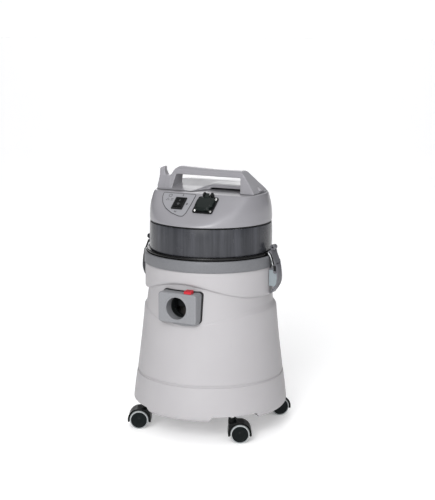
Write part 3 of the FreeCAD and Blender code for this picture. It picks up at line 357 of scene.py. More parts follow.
class Shade:
    """A small helper round one material's node tree."""

    def __init__(self, name):
        self.m = bpy.data.materials.new(name)
        self.m.use_nodes = True
        self.nt = self.m.node_tree
        self.bsdf = self.nt.nodes["Principled BSDF"]
        self.co = self.nt.nodes.new("ShaderNodeTexCoord").outputs["Object"]

    def node(self, kind, **kw):
        n = self.nt.nodes.new(kind)
        for k, v in kw.items():
            setattr(n, k, v)
        return n

    def link(self, a, b):
        self.nt.links.new(a, b)

    def scaled(self, s):
        n = self.node("ShaderNodeVectorMath", operation="MULTIPLY")
        self.link(self.co, n.inputs[0])
        n.inputs[1].default_value = s
        return n.outputs[0]

    def noise(self, scale, detail=3.0, rough=0.55, vec=None):
        n = self.node("ShaderNodeTexNoise")
        n.inputs["Scale"].default_value = scale
        n.inputs["Detail"].default_value = detail
        n.inputs["Roughness"].default_value = rough
        self.link(vec or self.co, n.inputs["Vector"])
        return n.outputs["Fac"]

    def ramp(self, fac, stops):
        n = self.node("ShaderNodeValToRGB")
        while len(n.color_ramp.elements) > 1:
            n.color_ramp.elements.remove(n.color_ramp.elements[-1])
        first = True
        for p, c in stops:
            e = n.color_ramp.elements[0] if first else n.color_ramp.elements.new(p)
            e.position, e.color = p, (c if len(c) == 4 else (*c, 1))
            first = False
        self.link(fac, n.inputs[0])
        return n.outputs[0]

    def span(self, fac, a, b, lo, hi):
        n = self.node("ShaderNodeMapRange")
        for k, v in zip((1, 2, 3, 4), (a, b, lo, hi)):
            n.inputs[k].default_value = v
        self.link(fac, n.inputs[0])
        return n.outputs[0]

    def math(self, op, a, b=None):
        n = self.node("ShaderNodeMath", operation=op)
        for i, v in enumerate((a, b)):
            if v is None:
                continue
            if isinstance(v, (int, float)):
                n.inputs[i].default_value = v
            else:
                self.link(v, n.inputs[i])
        return n.outputs[0]

    def mix(self, fac, a, b):
        n = self.node("ShaderNodeMix", data_type="RGBA")
        for s, v in ((0, fac), (6, a), (7, b)):
            if isinstance(v, (int, float)):
                n.inputs[s].default_value = v
            elif isinstance(v, tuple):
                n.inputs[s].default_value = v
            else:
                self.link(v, n.inputs[s])
        return n.outputs[2]

    def bump(self, parts):
        """parts: (height socket, strength, distance in metres)"""
        prev = None
        for hsock, strength, dist in parts:
            n = self.node("ShaderNodeBump")
            n.inputs["Strength"].default_value = strength
            n.inputs["Distance"].default_value = dist
            self.link(hsock, n.inputs["Height"])
            if prev is not None:
                self.link(prev, n.inputs["Normal"])
            prev = n.outputs[0]
        self.link(prev, self.bsdf.inputs["Normal"])

    def set(self, **kw):
        for k, v in kw.items():
            self.bsdf.inputs[k.replace("_", " ")].default_value = v


def plastic(name, col, rough=0.45, grain=700.0, grain_amt=0.25, vary=0.05, coat=0.0, speckle=0.0, spec=0.5, scuff=0.0):
    """Moulded plastic: spark-eroded grain, slow colour drift, rubbed patches."""
    s = Shade(name)
    slow = s.noise(9.0, 3.0)
    lo = tuple(c * (1 - vary) for c in col[:3]) + (1,)
    hi = tuple(min(1, c * (1 + vary)) for c in col[:3]) + (1,)
    c = s.ramp(slow, [(0.3, lo), (0.7, hi)])
    fine = s.noise(grain, 4.0, 0.6)
    if speckle:
        dots = s.ramp(s.noise(grain * 0.6, 2.0), [(0.35, tuple(x * (1 - speckle) for x in col[:3])), (0.65, tuple(min(1, x * (1 + speckle)) for x in col[:3]))])
        c = s.mix(0.5, c, dots)
    if scuff:
        long_ = s.noise(60.0, 5.0, 0.7, s.scaled((1.0, 1.0, 0.12)))
        c = s.mix(s.span(long_, 0.62, 0.8, 0.0, scuff), c, tuple(x * 0.8 for x in col[:3]) + (1,))
    s.link(c, s.bsdf.inputs["Base Color"])
    r = s.span(s.noise(24.0, 4.0), 0.3, 0.7, rough - 0.05, rough + 0.06)
    s.link(r, s.bsdf.inputs["Roughness"])
    s.set(Specular_IOR_Level=spec, Coat_Weight=coat, Coat_Roughness=0.12)
    s.bump([(s.noise(16.0, 2.0), 0.12, 0.0012), (fine, grain_amt, 0.00012)])
    return s.m


def metal(name, col, rough=0.3, brushed=(1, 1, 1), scale=300.0):
    s = Shade(name)
    n = s.noise(scale, 4.0, 0.6, s.scaled(brushed))
    s.link(s.ramp(n, [(0.3, tuple(c * 0.86 for c in col[:3])), (0.7, tuple(min(1, c * 1.08) for c in col[:3]))]), s.bsdf.inputs["Base Color"])
    s.link(s.span(n, 0.3, 0.7, rough - 0.06, rough + 0.1), s.bsdf.inputs["Roughness"])
    s.set(Metallic=1.0)
    s.bump([(n, 0.15, 0.0001)])
    return s.m


M = {}
M["drum"] = plastic("drum_grey", srgb(161, 159, 161), 0.46, 620.0, 0.22, 0.02, scuff=0.2, spec=0.30)
M["collar"] = plastic("collar_grey", srgb(102, 103, 106), 0.46, 520.0, 0.35, 0.05, speckle=0.10, spec=0.35)
M["cap"] = plastic("cap_grey", srgb(131, 130, 134), 0.34, 640.0, 0.16, 0.02, coat=0.12, spec=0.40)
# a lighter copy of the cap grey: painted light for cowl faces turned towards +x
M["cap_side"] = plastic("cap_grey_painted_light", srgb(149, 148, 152), 0.34, 640.0, 0.16, 0.02, coat=0.12, spec=0.40)
M["latch"] = plastic("latch_grey", srgb(92, 92, 97), 0.45, 560.0, 0.35, 0.06, speckle=0.12, spec=0.35)
# a darker copy of the latch grey: painted shade for the left latch
M["latch_dark"] = plastic("latch_dark_grey", srgb(46, 47, 50), 0.42, 560.0, 0.35, 0.08, speckle=0.10, spec=0.25)
M["inlet"] = plastic("inlet_grey", srgb(123, 124, 127), 0.42, 560.0, 0.35, 0.04, speckle=0.06, spec=0.35)
# pale grey of the hook's side arms, lightened further as a painted highlight along them
M["rib"] = plastic("latch_rib_pale_painted_highlight", srgb(188, 190, 192), 0.35, 560.0, 0.2, 0.03)
M["pad"] = plastic("latch_pad_grey", srgb(120, 128, 132), 0.45, 560.0, 0.3, 0.03, speckle=0.05)
M["red"] = plastic("red_plastic", srgb(172, 15, 34), 0.32, 500.0, 0.12, 0.05, coat=0.2, spec=0.4)
M["black"] = plastic("black_plastic", srgb(12, 13, 14), 0.32, 500.0, 0.18, 0.10, spec=0.22)
M["lid"] = plastic("lid_black", srgb(9, 17, 15), 0.34, 420.0, 0.2, 0.12, spec=0.25)
M["rubber"] = plastic("seal_rubber", srgb(8, 8, 9), 0.42, 260.0, 0.25, 0.12, spec=0.2)
M["gloss_black"] = plastic("gloss_black", srgb(6, 6, 7), 0.26, 420.0, 0.05, 0.10, spec=0.3)
M["hood"] = plastic("castor_nylon", srgb(6, 9, 9), 0.34, 420.0, 0.2, 0.15, spec=0.13)
M["hub"] = plastic("castor_hub", srgb(7, 14, 15), 0.38, 420.0, 0.25, 0.12, spec=0.12)
M["tread"] = plastic("castor_tread", srgb(150, 154, 155), 0.55, 500.0, 0.3, 0.05, scuff=0.5)
M["rocker"] = plastic("rocker_plastic", srgb(11, 12, 13), 0.40, 420.0, 0.2, 0.08, spec=0.12)
M["mark"] = plastic("printed_mark", srgb(26, 27, 30), 0.5, 500.0, 0.05, 0.03, spec=0.3)
M["mark_white"] = plastic("moulded_mark", srgb(104, 106, 108), 0.45, 500.0, 0.05, 0.03, spec=0.3)
M["label"] = plastic("label_film", srgb(134, 134, 138), 0.34, 800.0, 0.12, 0.02, coat=0.12, spec=0.4)
M["steel"] = metal("zinc_steel", (0.62, 0.62, 0.61), 0.28)
M["bright"] = metal("bright_screw", (0.80, 0.80, 0.79), 0.18)
M["alloy"] = metal("cast_alloy", (0.50, 0.50, 0.51), 0.45, scale=160.0)
M["iron"] = metal("laminations", (0.22, 0.17, 0.13), 0.45, (1, 1, 14))
M["copper"] = metal("copper_bars", (0.72, 0.36, 0.20), 0.35, (1, 1, 10))
M["carbon"] = plastic("carbon", srgb(30, 30, 31), 0.6, 300.0, 0.3, 0.1)
M["board"] = plastic("circuit_board", srgb(28, 84, 46), 0.4, 300.0, 0.2, 0.08)
M["cage"] = plastic("cage_grey", srgb(120, 121, 124), 0.45, 400.0, 0.2, 0.05)
# dark grey for the inlet bore, its tube and the deflector: painted shade inside the inlet
M["throat"] = plastic("throat_painted_shade", srgb(24, 27, 28), 0.5, 400.0, 0.2, 0.06, spec=0.25)


def cloth_mat():
    s = Shade("filter_cloth_painted_shade")
    w = s.node("ShaderNodeTexWave", wave_type="BANDS", bands_direction="Z")
    w.inputs["Scale"].default_value = 520.0
    s.link(s.co, w.inputs["Vector"])
    n = s.noise(90.0, 5.0, 0.7)
    # the cloth is coloured dark: painted shade, so that little light shows from it through the inlet
    s.link(s.ramp(n, [(0.3, (0.085, 0.082, 0.076)), (0.7, (0.125, 0.12, 0.11))]), s.bsdf.inputs["Base Color"])
    s.set(Roughness=0.95, Sheen_Weight=0.15)
    s.bump([(n, 0.4, 0.0004), (w.outputs["Fac"], 0.25, 0.0001)])
    return s.m


M["cloth"] = cloth_mat()


def smoked_mat():
    """Smoked plastic band: deep gloss over soft upright streaks in its colour."""
    s = Shade("smoked_plastic")
    sep = s.node("ShaderNodeSeparateXYZ")
    s.link(s.co, sep.inputs[0])
    ang = s.math("ARCTAN2", sep.outputs[0], sep.outputs[1])
    comb = s.node("ShaderNodeCombineXYZ")
    s.link(ang, comb.inputs[0])
    s.link(s.math("MULTIPLY", sep.outputs[2], 0.4), comb.inputs[1])
    broad = s.noise(5.5, 2.0, 0.5, comb.outputs[0])
    thin = s.noise(34.0, 2.0, 0.5, comb.outputs[0])
    c = s.ramp(s.math("ADD", s.math("MULTIPLY", broad, 0.75), s.math("MULTIPLY", thin, 0.25)),
               [(0.36, srgb(43, 44, 48)), (0.5, srgb(53, 54, 58)), (0.64, srgb(65, 66, 71))])
    s.link(c, s.bsdf.inputs["Base Color"])
    s.link(s.span(s.noise(40.0, 3.0), 0.3, 0.7, 0.20, 0.28), s.bsdf.inputs["Roughness"])
    s.set(Coat_Weight=0.08, Coat_Roughness=0.10, Specular_IOR_Level=0.22)
    s.bump([(broad, 0.10, 0.002)])
    return s.m


M["smoked"] = smoked_mat()

# ======================================================================= drum
UP_A = [0, 6, 13, 22, 30, 38.5, 47, 55, 67, 76, 89, 100, 125, 150, 180]
UP_Z = [362.4, 361.6, 358.8, 353.6, 347.3, 341.2, 335.6, 331.4, 328.2, 326.4, 324.8, 324.4, 324.2, 324.2, 324.2]
LO_A = [0, 10, 21.6, 31.5, 39, 47, 54, 61, 75, 90, 125, 180]
LO_Z = [266.0, 268.6, 274.4, 281.3, 286.0, 290.8, 295.6, 299.2, 301.4, 301.8, 302.0, 302.0]
NP = 400
PHI = np.linspace(-math.pi, math.pi, NP, endpoint=False)


def smooth_table(a, z, phi):
    deg = np.degrees(np.abs(phi))
    k = np.linspace(-6, 6, 13)
    w = np.exp(-(k / 3.2) ** 2)
    full = np.abs(((deg[:, None] + k) + 180) % 360 - 180)
    return (np.interp(full, a, z) * w).sum(1) / w.sum()


ZU, ZL = smooth_table(UP_A, UP_Z, PHI), smooth_table(LO_A, LO_Z, PHI)
BODY_Z = [137.6, 150, 180, 216.3, 240, 260, 275, 286, 300, 340]
BODY_R = [171.6, 170.0, 166.4, 162.0, 159.5, 157.6, 156.2, 155.2, 154.3, 153.1]
body_r = lambda z: np.interp(z, BODY_Z, BODY_R)
deg = np.degrees(np.abs(PHI))
STEP = np.interp(deg, [0, 28, 50, 75, 180], [1.6, 1.8, 4.0, 8.2, 8.8])     # ledge depth at the recess's foot
RUN = np.interp(deg, [0, 28, 50, 75, 180], [3.0, 3.4, 8.0, 13.0, 14.0])    # and its height
FLOOR_LOW = body_r(ZL - RUN) - STEP
FLOOR_TOP = 145.6 + 0 * deg
CASTOR = [(-111, -111), (111, -111), (111, 111), (-111, 111)]


def pocket(r, phi):
    x, y = r * np.sin(phi), -r * np.cos(phi)
    return np.min([np.hypot(x - cx, y - cy) - 58.0 for cx, cy in CASTOR], axis=0)


def smax(a, b, k):
    h = np.maximum(k - np.abs(a - b), 0) / k
    return np.maximum(a, b) + h * h * k * 0.25


def drum_rows():
    one = np.ones(NP)
    rows = [(150.9 * one, 403.4 * one), (151.0 * one, 402.4 * one), (151.0 * one, 392.6 * one), (151.4 * one, 391.8 * one),
            (152.4 * one, 391.3 * one), (153.1 * one, 390.4 * one)]
    top = ZU + 9.0
    for t in np.linspace(0, 1, 7)[1:]:
        rows.append((153.15 * one, 390.0 + (top - 390.0) * t))
    for dz, f in [(7.4, .992), (5.8, .97), (4.4, .93), (3.2, .87), (2.2, .785), (1.4, .68), (0.8, .56), (0.35, .43), (0.05, .29), (-0.25, .15), (-0.8, .05), (-1.8, 0.0)]:
        rows.append((FLOOR_TOP + (153.15 - FLOOR_TOP) * f, ZU + dz))
    za, zb = ZU - 1.8, ZL + RUN * 0.25
    for t in np.linspace(0, 1, 9)[1:]:
        z = za + (zb - za) * t
        rows.append((FLOOR_TOP + (FLOOR_LOW - FLOOR_TOP) * t, z))
    for t in np.linspace(0, 1, 9)[1:]:
        z = zb + (ZL - RUN - zb) * t
        r1 = body_r(ZL - RUN)
        w = t * t * (3 - 2 * t)
        rows.append((FLOOR_LOW + (r1 - FLOOR_LOW) * w, z))
    z0 = ZL - RUN
    for t in np.linspace(0, 1, 16)[1:]:
        z = z0 + (139.4 - z0) * t
        rows.append((body_r(z), z))
    for r, z in round_poly([(171.5, 139.0), (171.75, 136.6, 0.9), (170.3, 135.4, 0.9), (170.3, 131.8, 0.9), (173.1, 130.4, 1.2), (173.7, 126.0)], closed=False, seg=3)[1:]:
        rows.append((r * one, z * one))
    for z in np.linspace(124, 68, 14):
        u = (126 - z) / 60.0
        rows.append(((173.7 + 7.5 * u + 0.5 * math.sin(math.pi * u)) * one, z * one))
    for r, z in [(181.2, 66), (181.2, 64.2), (181.1, 62.4), (180.7, 60.6), (180.0, 58.8), (178.9, 57.2), (177.5, 55.8), (175.8, 54.7), (173.8, 53.9), (171.6, 53.5)]:
        rows.append((r * one, z * one))
    for r in (169.5, 167, 164.5, 162, 159.5, 157, 154.8):
        rows.append((r * one, 53.5 * one))
    for r, z in [(153.2, 53.8), (152.2, 54.8), (151.4, 56.6), (150.4, 59.4), (149.4, 62.4), (148.6, 64.6), (147.6, 65.7), (146.2, 66.0)]:
        rows.append((r * one, z * one))
    rows = [(r, smax(z, 66.0 - np.maximum(pocket(r, PHI) + 2.0, 0) * 3.0, 2.4) if float(np.min(z)) < 72 else z) for r, z in rows]
    for r in (140, 125, 100, 70, 40, 12):
        rows.append((r * one, 66.0 * one))
    rows.append((None, 66.0))
    inner = [(None, 69.6)]
    for r in (12, 40, 70, 100, 125, 140, 146, 149.6):
        inner.append((r * one, 69.6 * one))
    low = []
    for r, z in [(150.8, 68.4), (152.6, 64.4), (154.4, 60.2), (156.2, 57.8), (159, 57.0), (162, 57.0), (165, 57.0), (168.4, 57.4), (172.2, 58.6),
                 (175.2, 60.8), (177.0, 63.6), (177.6, 67), (177.4, 71)]:
        low.append((r * one, z * one))
    low = [(r, smax(z, 69.6 - np.maximum(pocket(r, PHI) - 1.5, 0) * 3.0, 2.0)) for r, z in low]
    inner += low
    for r, z in [(174, 98), (170.2, 125), (168.0, 130), (167.0, 133.5), (168.0, 138)]:
        inner.append((r * one, z * one))
    for t in np.linspace(0, 1, 9)[1:]:
        z = 138 + (z0 - 2 - 138) * t
        inner.append((body_r(z) - 3.5, z))
    for t in np.linspace(0, 1, 6)[1:]:
        w = t * t * (3 - 2 * t)
        inner.append((body_r(z0) - 3.5 + (FLOOR_LOW - body_r(z0)) * w, z0 - 2 + (zb + 1 - z0 + 2) * t))
    for t in np.linspace(0, 1, 6)[1:]:
        inner.append((FLOOR_LOW + (FLOOR_TOP - FLOOR_LOW) * t - 3.5, zb + 1 + (za + 2 - zb - 1) * t))
    for t in np.linspace(0, 1, 6)[1:]:
        w = t * t * (3 - 2 * t)
        inner.append((FLOOR_TOP + (153.15 - FLOOR_TOP) * w - 3.5, za + 2 + 9 * t))
    for z in (388.0, 391.0):
        inner.append((149.6 * one, z * one))
    inner += [(147.6 * one, 393.0 * one), (147.5 * one, 402.6 * one), (147.9 * one, 403.6 * one), (148.8 * one, 404.0 * one), (150.2 * one, 404.0 * one)]
    return rows, inner


rows, inner = drum_rows()
allrows = rows + inner
verts, ids = [], []
for r, z in allrows:
    if r is None:
        ids.append([len(verts)] * NP)
        verts.append((0.0, 0.0, float(z)))
    else:
        ids.append(list(range(len(verts), len(verts) + NP)))
        verts.extend(zip((r * np.sin(PHI)).tolist(), (-r * np.cos(PHI)).tolist(), (z + 0 * PHI).tolist()))
faces = []
for k in range(len(allrows)):
    a, b = ids[k], ids[(k + 1) % len(allrows)]
    if a[0] == a[1] and b[0] == b[1]:
        continue
    for j in range(NP):
        j2 = (j + 1) % NP
        q = [a[j], b[j], b[j2], a[j2]]
        q = [v for i, v in enumerate(q) if v not in q[:i]]
        if len(q) > 2:
            faces.append(q)
drum = build("drum_shell", verts, faces, M["drum"])
hole = lathe("hole", [(0, -195), (28.35, -195), (28.35, -120), (0, -120)], M["drum"], 96,
             place=Matrix.Translation((0, 0, 0.312)) @ Matrix.Rotation(math.radians(-90), 4, "X"))
boolean(drum, [hole])
mark_sharp(drum.data, 50)
give(drum, "drum", "drum_plastic", "tank")
for i, (cx, cy) in enumerate(CASTOR):
    b = lathe("drum_boss_%d" % i, round_poly([(0, 69.0), (13.0, 69.0), (10.6, 71.4, 2.0), (10.0, 94.0, 1.4), (0, 94.0)], closed=False, seg=4),
              M["drum"], 48, closed=False, place=Matrix.Translation((cx * MM, cy * MM, 0)))
    give(b, "drum", "drum_plastic")

# ================================================================ collar, seal
collar = lathe("collar", round_poly([
    (151.4, 391.8, 0.4), (155.2, 391.8, 0.7), (155.25, 404.0), (155.2, 417.6, 3.0), (150.6, 417.6, 0.6), (150.6, 413.2, 0.3), (143.0, 413.2, 0.3),
    (143.0, 417.2, 0.6), (137.6, 417.2, 1.4), (137.6, 399.0, 0.4), (147.2, 399.0, 0.3), (147.2, 404.4, 0.3), (151.4, 404.4, 0.3)], seg=4), M["collar"], 320)
give(collar, "drum", "collar_plastic", "tank_rim")
seal = lathe("seal", round_poly([(143.5, 413.4), (150.2, 413.4), (150.2, 417.2, 1.4), (148.4, 418.7, 1.2), (145.0, 418.7, 1.2), (143.5, 417.0, 1.4)], seg=4), M["rubber"], 256)
give(seal, "drum", "seal_rubber", "tank_seal")

# ======================================================== motor plate and band
plate = lathe("head_plate", round_poly([
    (22.0, 372.0, 0.6), (84.0, 372.0, 2.0), (84.0, 419.0, 1.0), (149.6, 419.0, 1.3), (149.6, 424.6, 2.2), (143.2, 424.6, 0.2), (143.2, 424.7, 0.2), (137.9, 424.7, 0.3),
    (137.9, 433.0, 0.4), (135.4, 433.0, 0.4), (135.4, 422.6, 0.6), (80.4, 422.6, 1.5), (80.4, 375.6, 1.0), (22.0, 375.6, 0.6)], seg=5), M["gloss_black"], 256)
give(plate, "head", "black_plastic", "motor_plate")
band = lathe("band", round_poly([
    (138.4, 424.9, 0.3), (142.6, 424.9, 0.8), (142.7, 428.0, 0.0), (142.75, 460.0), (142.15, 487.6, 0.8), (140.2, 487.7, 0.3), (138.0, 487.7, 0.3)], seg=4), M["smoked"], 320)
give(band, "head", "smoked", "smoked_band")
# a black ring in the gap between band and cap: painted shade standing for the shadow in that gap
seam = lathe("band_seam_shadow_ring", round_poly([(138.0, 487.9, 0.2), (140.3, 487.9, 0.6), (140.5, 491.2, 0.6), (138.0, 491.2, 0.2)], seg=3), M["rubber"], 320)
give(seam, "head", "smoked")

# ======================================================================== cap
T = math.radians(38.05)
CT, ST = math.cos(T), math.sin(T)
FY, FZ = -138.0, 497.5
FACE = Matrix.Translation((0, FY * MM, FZ * MM)) @ Matrix.Rotation(T, 4, "X")


def face_place(x=0.0, s=0.0, n=0.0):
    return FACE @ Matrix.Translation((x * MM, s * MM, n * MM))


DOME_Z = [491.3, 499, 506, 513, 520, 528, 535, 543, 551, 557, 562.6]
DOME_R = [141.7, 142.3, 142.0, 141.6, 141.1, 140.0, 138.5, 136.5, 134.2, 131.7, 129.0]
FRONT_Z, FRONT_R = [491.3, 495, 499.5, 506], [141.4, 140.0, 135.4, 127.1]
KA = np.linspace(0, 2 * math.pi, 320, endpoint=False)


def soft_interp(z, xs, ys, w=1.6):
    k = np.linspace(-2.2, 2.2, 9)
    g = np.exp(-k * k)
    return float((np.interp(z + k * w, xs, ys) * g).sum() / g.sum())


def cap_section(z, inset, facade_in):
    rd = soft_interp(z, DOME_Z, DOME_R) - inset
    if z < 506:
        want = soft_interp(z, FRONT_Z + [513, 520], FRONT_R + [118.2, 109.2], 1.2)
    else:
        want = -(FY + (z - FZ) / math.tan(T))
    want -= facade_in
    p = 12.0
    gap = max(want, 10.0) ** -p - rd ** -p
    reach = gap ** (-1 / p) if gap > 0 else 1e4
    c = np.cos(KA)
    r = np.where(c > 0.02, (rd ** -p + (reach / np.maximum(c, 0.02)) ** -p) ** (-1 / p), rd)
    return np.stack([r * np.sin(KA), -r * c, np.full(len(KA), z)], 1)


sec = [cap_section(z, 0.0, 0.0) for z in [491.6, 492.4, 493.6, 495, 496.5, 498, 499.5, 501, 503, 505.5] + list(np.arange(508, 555.1, 2.35))]
last = cap_section(556.9, 0, 0)
below = cap_section(553.4, 0, 0)


def inset_loop(L, d):
    t = np.roll(L, -1, 0) - np.roll(L, 1, 0)
    nrm = np.stack([t[:, 1], -t[:, 0], 0 * t[:, 0]], 1)
    nrm /= np.linalg.norm(nrm, axis=1)[:, None]
    return L - nrm * d


lip = []
edge = cap_section(557.0, 0, 0)
for k in range(7):
    w = (k + 1) / 7 * math.pi / 2
    rr = 2.2
    L = inset_loop(cap_section(557.0 - rr * (1 - math.sin(w)), 0, 0), rr * (1 - math.cos(w)))
    L[:, 2] = 557.0 - rr * (1 - math.sin(w))
    lip.append(L)
sec = [s for s in sec if s[0, 2] < 554.6]
start = inset_loop(cap_section(491.3, 0, 0), 0.5)
loops = [start] + sec + lip
deck = lip[-1]
for f in (0.97, 0.9, 0.75, 0.5, 0.2):
    loops.append(deck * [f, f, 1])
top_n = len(loops)
innerl = []
for z in list(np.arange(491.3, 552.0, 5.0)) + [553.8]:
    innerl.append(cap_section(z, 3.0, 3.0 / ST))
deck_in = innerl[-1]
down = [deck_in * [f, f, 1] for f in (0.2, 0.5, 0.75, 0.9)]
seq = loops + down + innerl[::-1]
NK = len(KA)
V = np.concatenate(seq)
F = []
for k in range(len(seq)):
    a, b = k * NK, ((k + 1) % len(seq)) * NK
    if k == top_n - 1:
        continue
    for j in range(NK):
        F.append([a + j, a + (j + 1) % NK, b + (j + 1) % NK, b + j])
# close the deck, above and below, with fans
V = np.concatenate([V, [[0, 0, 557.0], [0, 0, 553.8]]])
ci, cj = len(V) - 2, len(V) - 1
for j in range(NK):
    F.append([(top_n - 1) * NK + j, (top_n - 1) * NK + (j + 1) % NK, ci])
    F.append([top_n * NK + (j + 1) % NK, top_n * NK + j, cj])
cap = build("cap_shell", V, F, M["cap"])
bm = bmesh.new()
bm.from_mesh(cap.data)
bmesh.ops.recalc_face_normals(bm, faces=bm.faces)
bm.to_mesh(cap.data)
bm.free()


def block(name, lo, hi, place=None):
    x0, y0, z0 = lo
    x1, y1, z1 = hi
    v = [(x0, y0, z0), (x1, y0, z0), (x1, y1, z0), (x0, y1, z0), (x0, y0, z1), (x1, y0, z1), (x1, y1, z1), (x0, y1, z1)]
    f = [[0, 3, 2, 1], [4, 5, 6, 7], [0, 1, 5, 4], [1, 2, 6, 5], [2, 3, 7, 6], [3, 0, 4, 7]]
    return build(name, v, f, M["cap"], place=place)


def prism(name, poly, z0, z1, mats, place=None, sharp=38):
    """A flat outline (x, y) raised from z0 to z1."""
    n = len(poly)
    v = [(x, y, z0) for x, y in poly] + [(x, y, z1) for x, y in poly]
    f = [list(range(n))[::-1], list(range(n, 2 * n))] + [[i, (i + 1) % n, n + (i + 1) % n, n + i] for i in range(n)]
    area = sum(poly[i][0] * poly[(i + 1) % n][1] - poly[(i + 1) % n][0] * poly[i][1] for i in range(n))
    if area < 0:
        f = [g[::-1] for g in f]
    return build(name, v, f, mats, sharp=sharp, place=place)


window = prism("window", round_poly([(-48, 506, 3), (48, 506, 3), (48, 540, 3), (-48, 540, 3)], seg=4), -155, -110, M["cap"],
               place=Matrix.Rotation(math.radians(90), 4, "X"))
boolean(cap, [window])
mark_sharp(cap.data, 42)
give(cap, "head", "cap_plastic", "head_cap")

# ============================================================ handle and cowl
dz = 557.0
front_view = Flat([
    (-108.5, 550.0), (-108.5, 588.0, 1), (-98.8, 588.0, 2), (-95.6, 590.4, 2), (-86.4, 604.6, 3), (-81.0, 608.8, 3), (-74.0, 610.2, 8), (-40.0, 609.0, 80), (0.0, 608.0, 80),
    (76.0, 607.6, 8), (82.8, 606.8, 3), (87.0, 603.3, 3), (118.7, 565.0, 6), (124.5, 556.0), (125.0, 550.0), (89.4, 550.0), (82.9, 590.2, 1.6), (81.2, 592.0, 1.6),
    (-81.2, 592.0, 1.6), (-82.9, 590.2, 1.6), (-89.4, 550.0)], step=0.3, pad=8, seg=6)
side_view = Flat([
    (-35.0, 550.0), (-30.6, 560.0, 10), (-18.0, 592.0, 16), (-17.4, 600.5, 2), (-15.2, 604.0, 1.2), (-9.5, 607.0, 4), (-3.0, 610.3, 6), (4.0, 610.3, 6), (10.5, 608.4, 4),
    (16.0, 604.0, 3), (18.4, 598.0, 4), (19.0, 592.0, 4), (20.0, 575.0, 6), (22.0, 550.0)], step=0.3, pad=8, seg=6)
side_right = Flat([
    (-35.0, 550.0), (-30.6, 560.0, 10), (-18.0, 592.0, 16), (-17.4, 600.5, 2), (-15.2, 604.0, 1.2), (-9.5, 607.0, 4), (-3.0, 610.3, 6), (4.0, 610.3, 6), (10.5, 608.4, 4),
    (16.0, 604.0, 3), (19.0, 600.0, 6), (26.0, 590.0, 20), (32.0, 580.0, 20), (39.0, 570.0, 20), (47.0, 560.0, 10), (54.0, 550.0)], step=0.3, pad=8, seg=6)
prong_front = Flat([
    (-127.0, 550.0), (-125.4, 575.0, 10), (-124.6, 603.0, 1.4), (-119.4, 606.4, 4), (-113.0, 608.9, 1.0), (-112.4, 598.0, 3), (-109.8, 590.4, 3), (-106.6, 588.0, 2),
    (-98.8, 588.0, 2), (-94.0, 584.0, 3), (-91.0, 550.0)], step=0.25, pad=8)
prong_side = Flat([
    (-35.0, 550.0), (-30.6, 560.0, 10), (-19.6, 588.0, 16), (-17.9, 611.0, 1.2), (-6.4, 611.0, 1.2), (-2.6, 589.0, 8), (10.0, 574.0, 8), (30.0, 550.0)], step=0.25, pad=8)
dome_pts = [(0, 540)] + [(131.7, 540)] + curve_through([(131.5, 557.0), (127.25, 561.0), (124.25, 564.0), (121.0, 567.0), (117.6, 569.8), (113.6, 572.4), (107.5, 574.4), (98.0, 575.4), (60.0, 576.2), (0, 576.6)], 5)
dome_flat = Flat([(-p[0], p[1]) for p in dome_pts[::-1]][:-1] + dome_pts[1:], step=0.4, pad=8)
# the cowl's front: a long ramp on the left of the deck, a step with an air slot under it on the right
ramp_flat = Flat([(-61.0, 550.0), (-60.0, 556.4, 2), (-46.0, 558.2, 20), (0.0, 564.6, 40), (34.0, 572.6, 30), (60.0, 579.0), (150.0, 590.0), (150.0, 550.0)], step=0.3, pad=8)
step_flat = Flat([(30.0, 550.0), (30.0, 562.4), (5.0, 562.6, 0.8), (6.6, 569.4, 1.4), (14.0, 571.6, 6), (40.0, 574.6, 20), (60.0, 579.0), (150.0, 590.0), (150.0, 550.0)], step=0.3, pad=8)


def cowl_f(P):
    x, y, z = P[:, 0], P[:, 1], P[:, 2]
    sr = np.clip((x - 52.0) / 16.0, 0, 1)
    grip = rmax(1.6, front_view(x, z), side_view(y, z) * (1 - sr) + side_right(y, z) * sr)
    prong = rmax(1.2, prong_front(x, z), prong_side(y, z))
    r = np.hypot(x, y)
    t = np.clip((x + 24.0 - 0.25 * (y + 20)) / 20.0, 0, 1)
    t = t * t * (3 - 2 * t)
    front = ramp_flat(y, z) * (1 - t) + step_flat(y, z) * t
    deck_edge = np.hypot(x, y) - 128.0
    hump = rmax(1.2, dome_flat(r, z), front, rmax(0.5, deck_edge, z - 590))
    d = rmin(1.2, rmin(1.4, grip, prong), hump)
    # the posts and the hump stay inside the dome's own outline near the seam
    d = rmax(1.4, d, dome_flat(r, z) - np.interp(z, [557, 562, 580, 612], [-0.2, 1.0, 40, 90]))
    return rmax(0.4, d, dz + 0.45 - z)


def cowl_zone(C, N):
    # the air slot's inner faces and the cowl's underside on the deck take black: painted shade in the slot and under
    # the cowl
    slot = (C[:, 2] < 562.0) & (C[:, 1] > 9.0) & (C[:, 1] < 32.0) & (np.abs(C[:, 0] - 38) < 52) & (N[:, 1] < 0.5)
    # faces turned towards +x above the deck take the lighter cap grey: painted light on that side
    side = (N[:, 0] > 0.55) & (C[:, 2] > 559.0)
    return np.where(slot | (N[:, 2] < -0.9) & (C[:, 2] < 558.5), 1, np.where(side, 2, 0))


cowl = solid("handle_shell", cowl_f, (-134, -66, 555), (134, 134, 613), 1.2, [M["cap"], M["black"], M["cap_side"]], zone=cowl_zone)
give(cowl, "head", "cap_plastic", "handle_cowl")


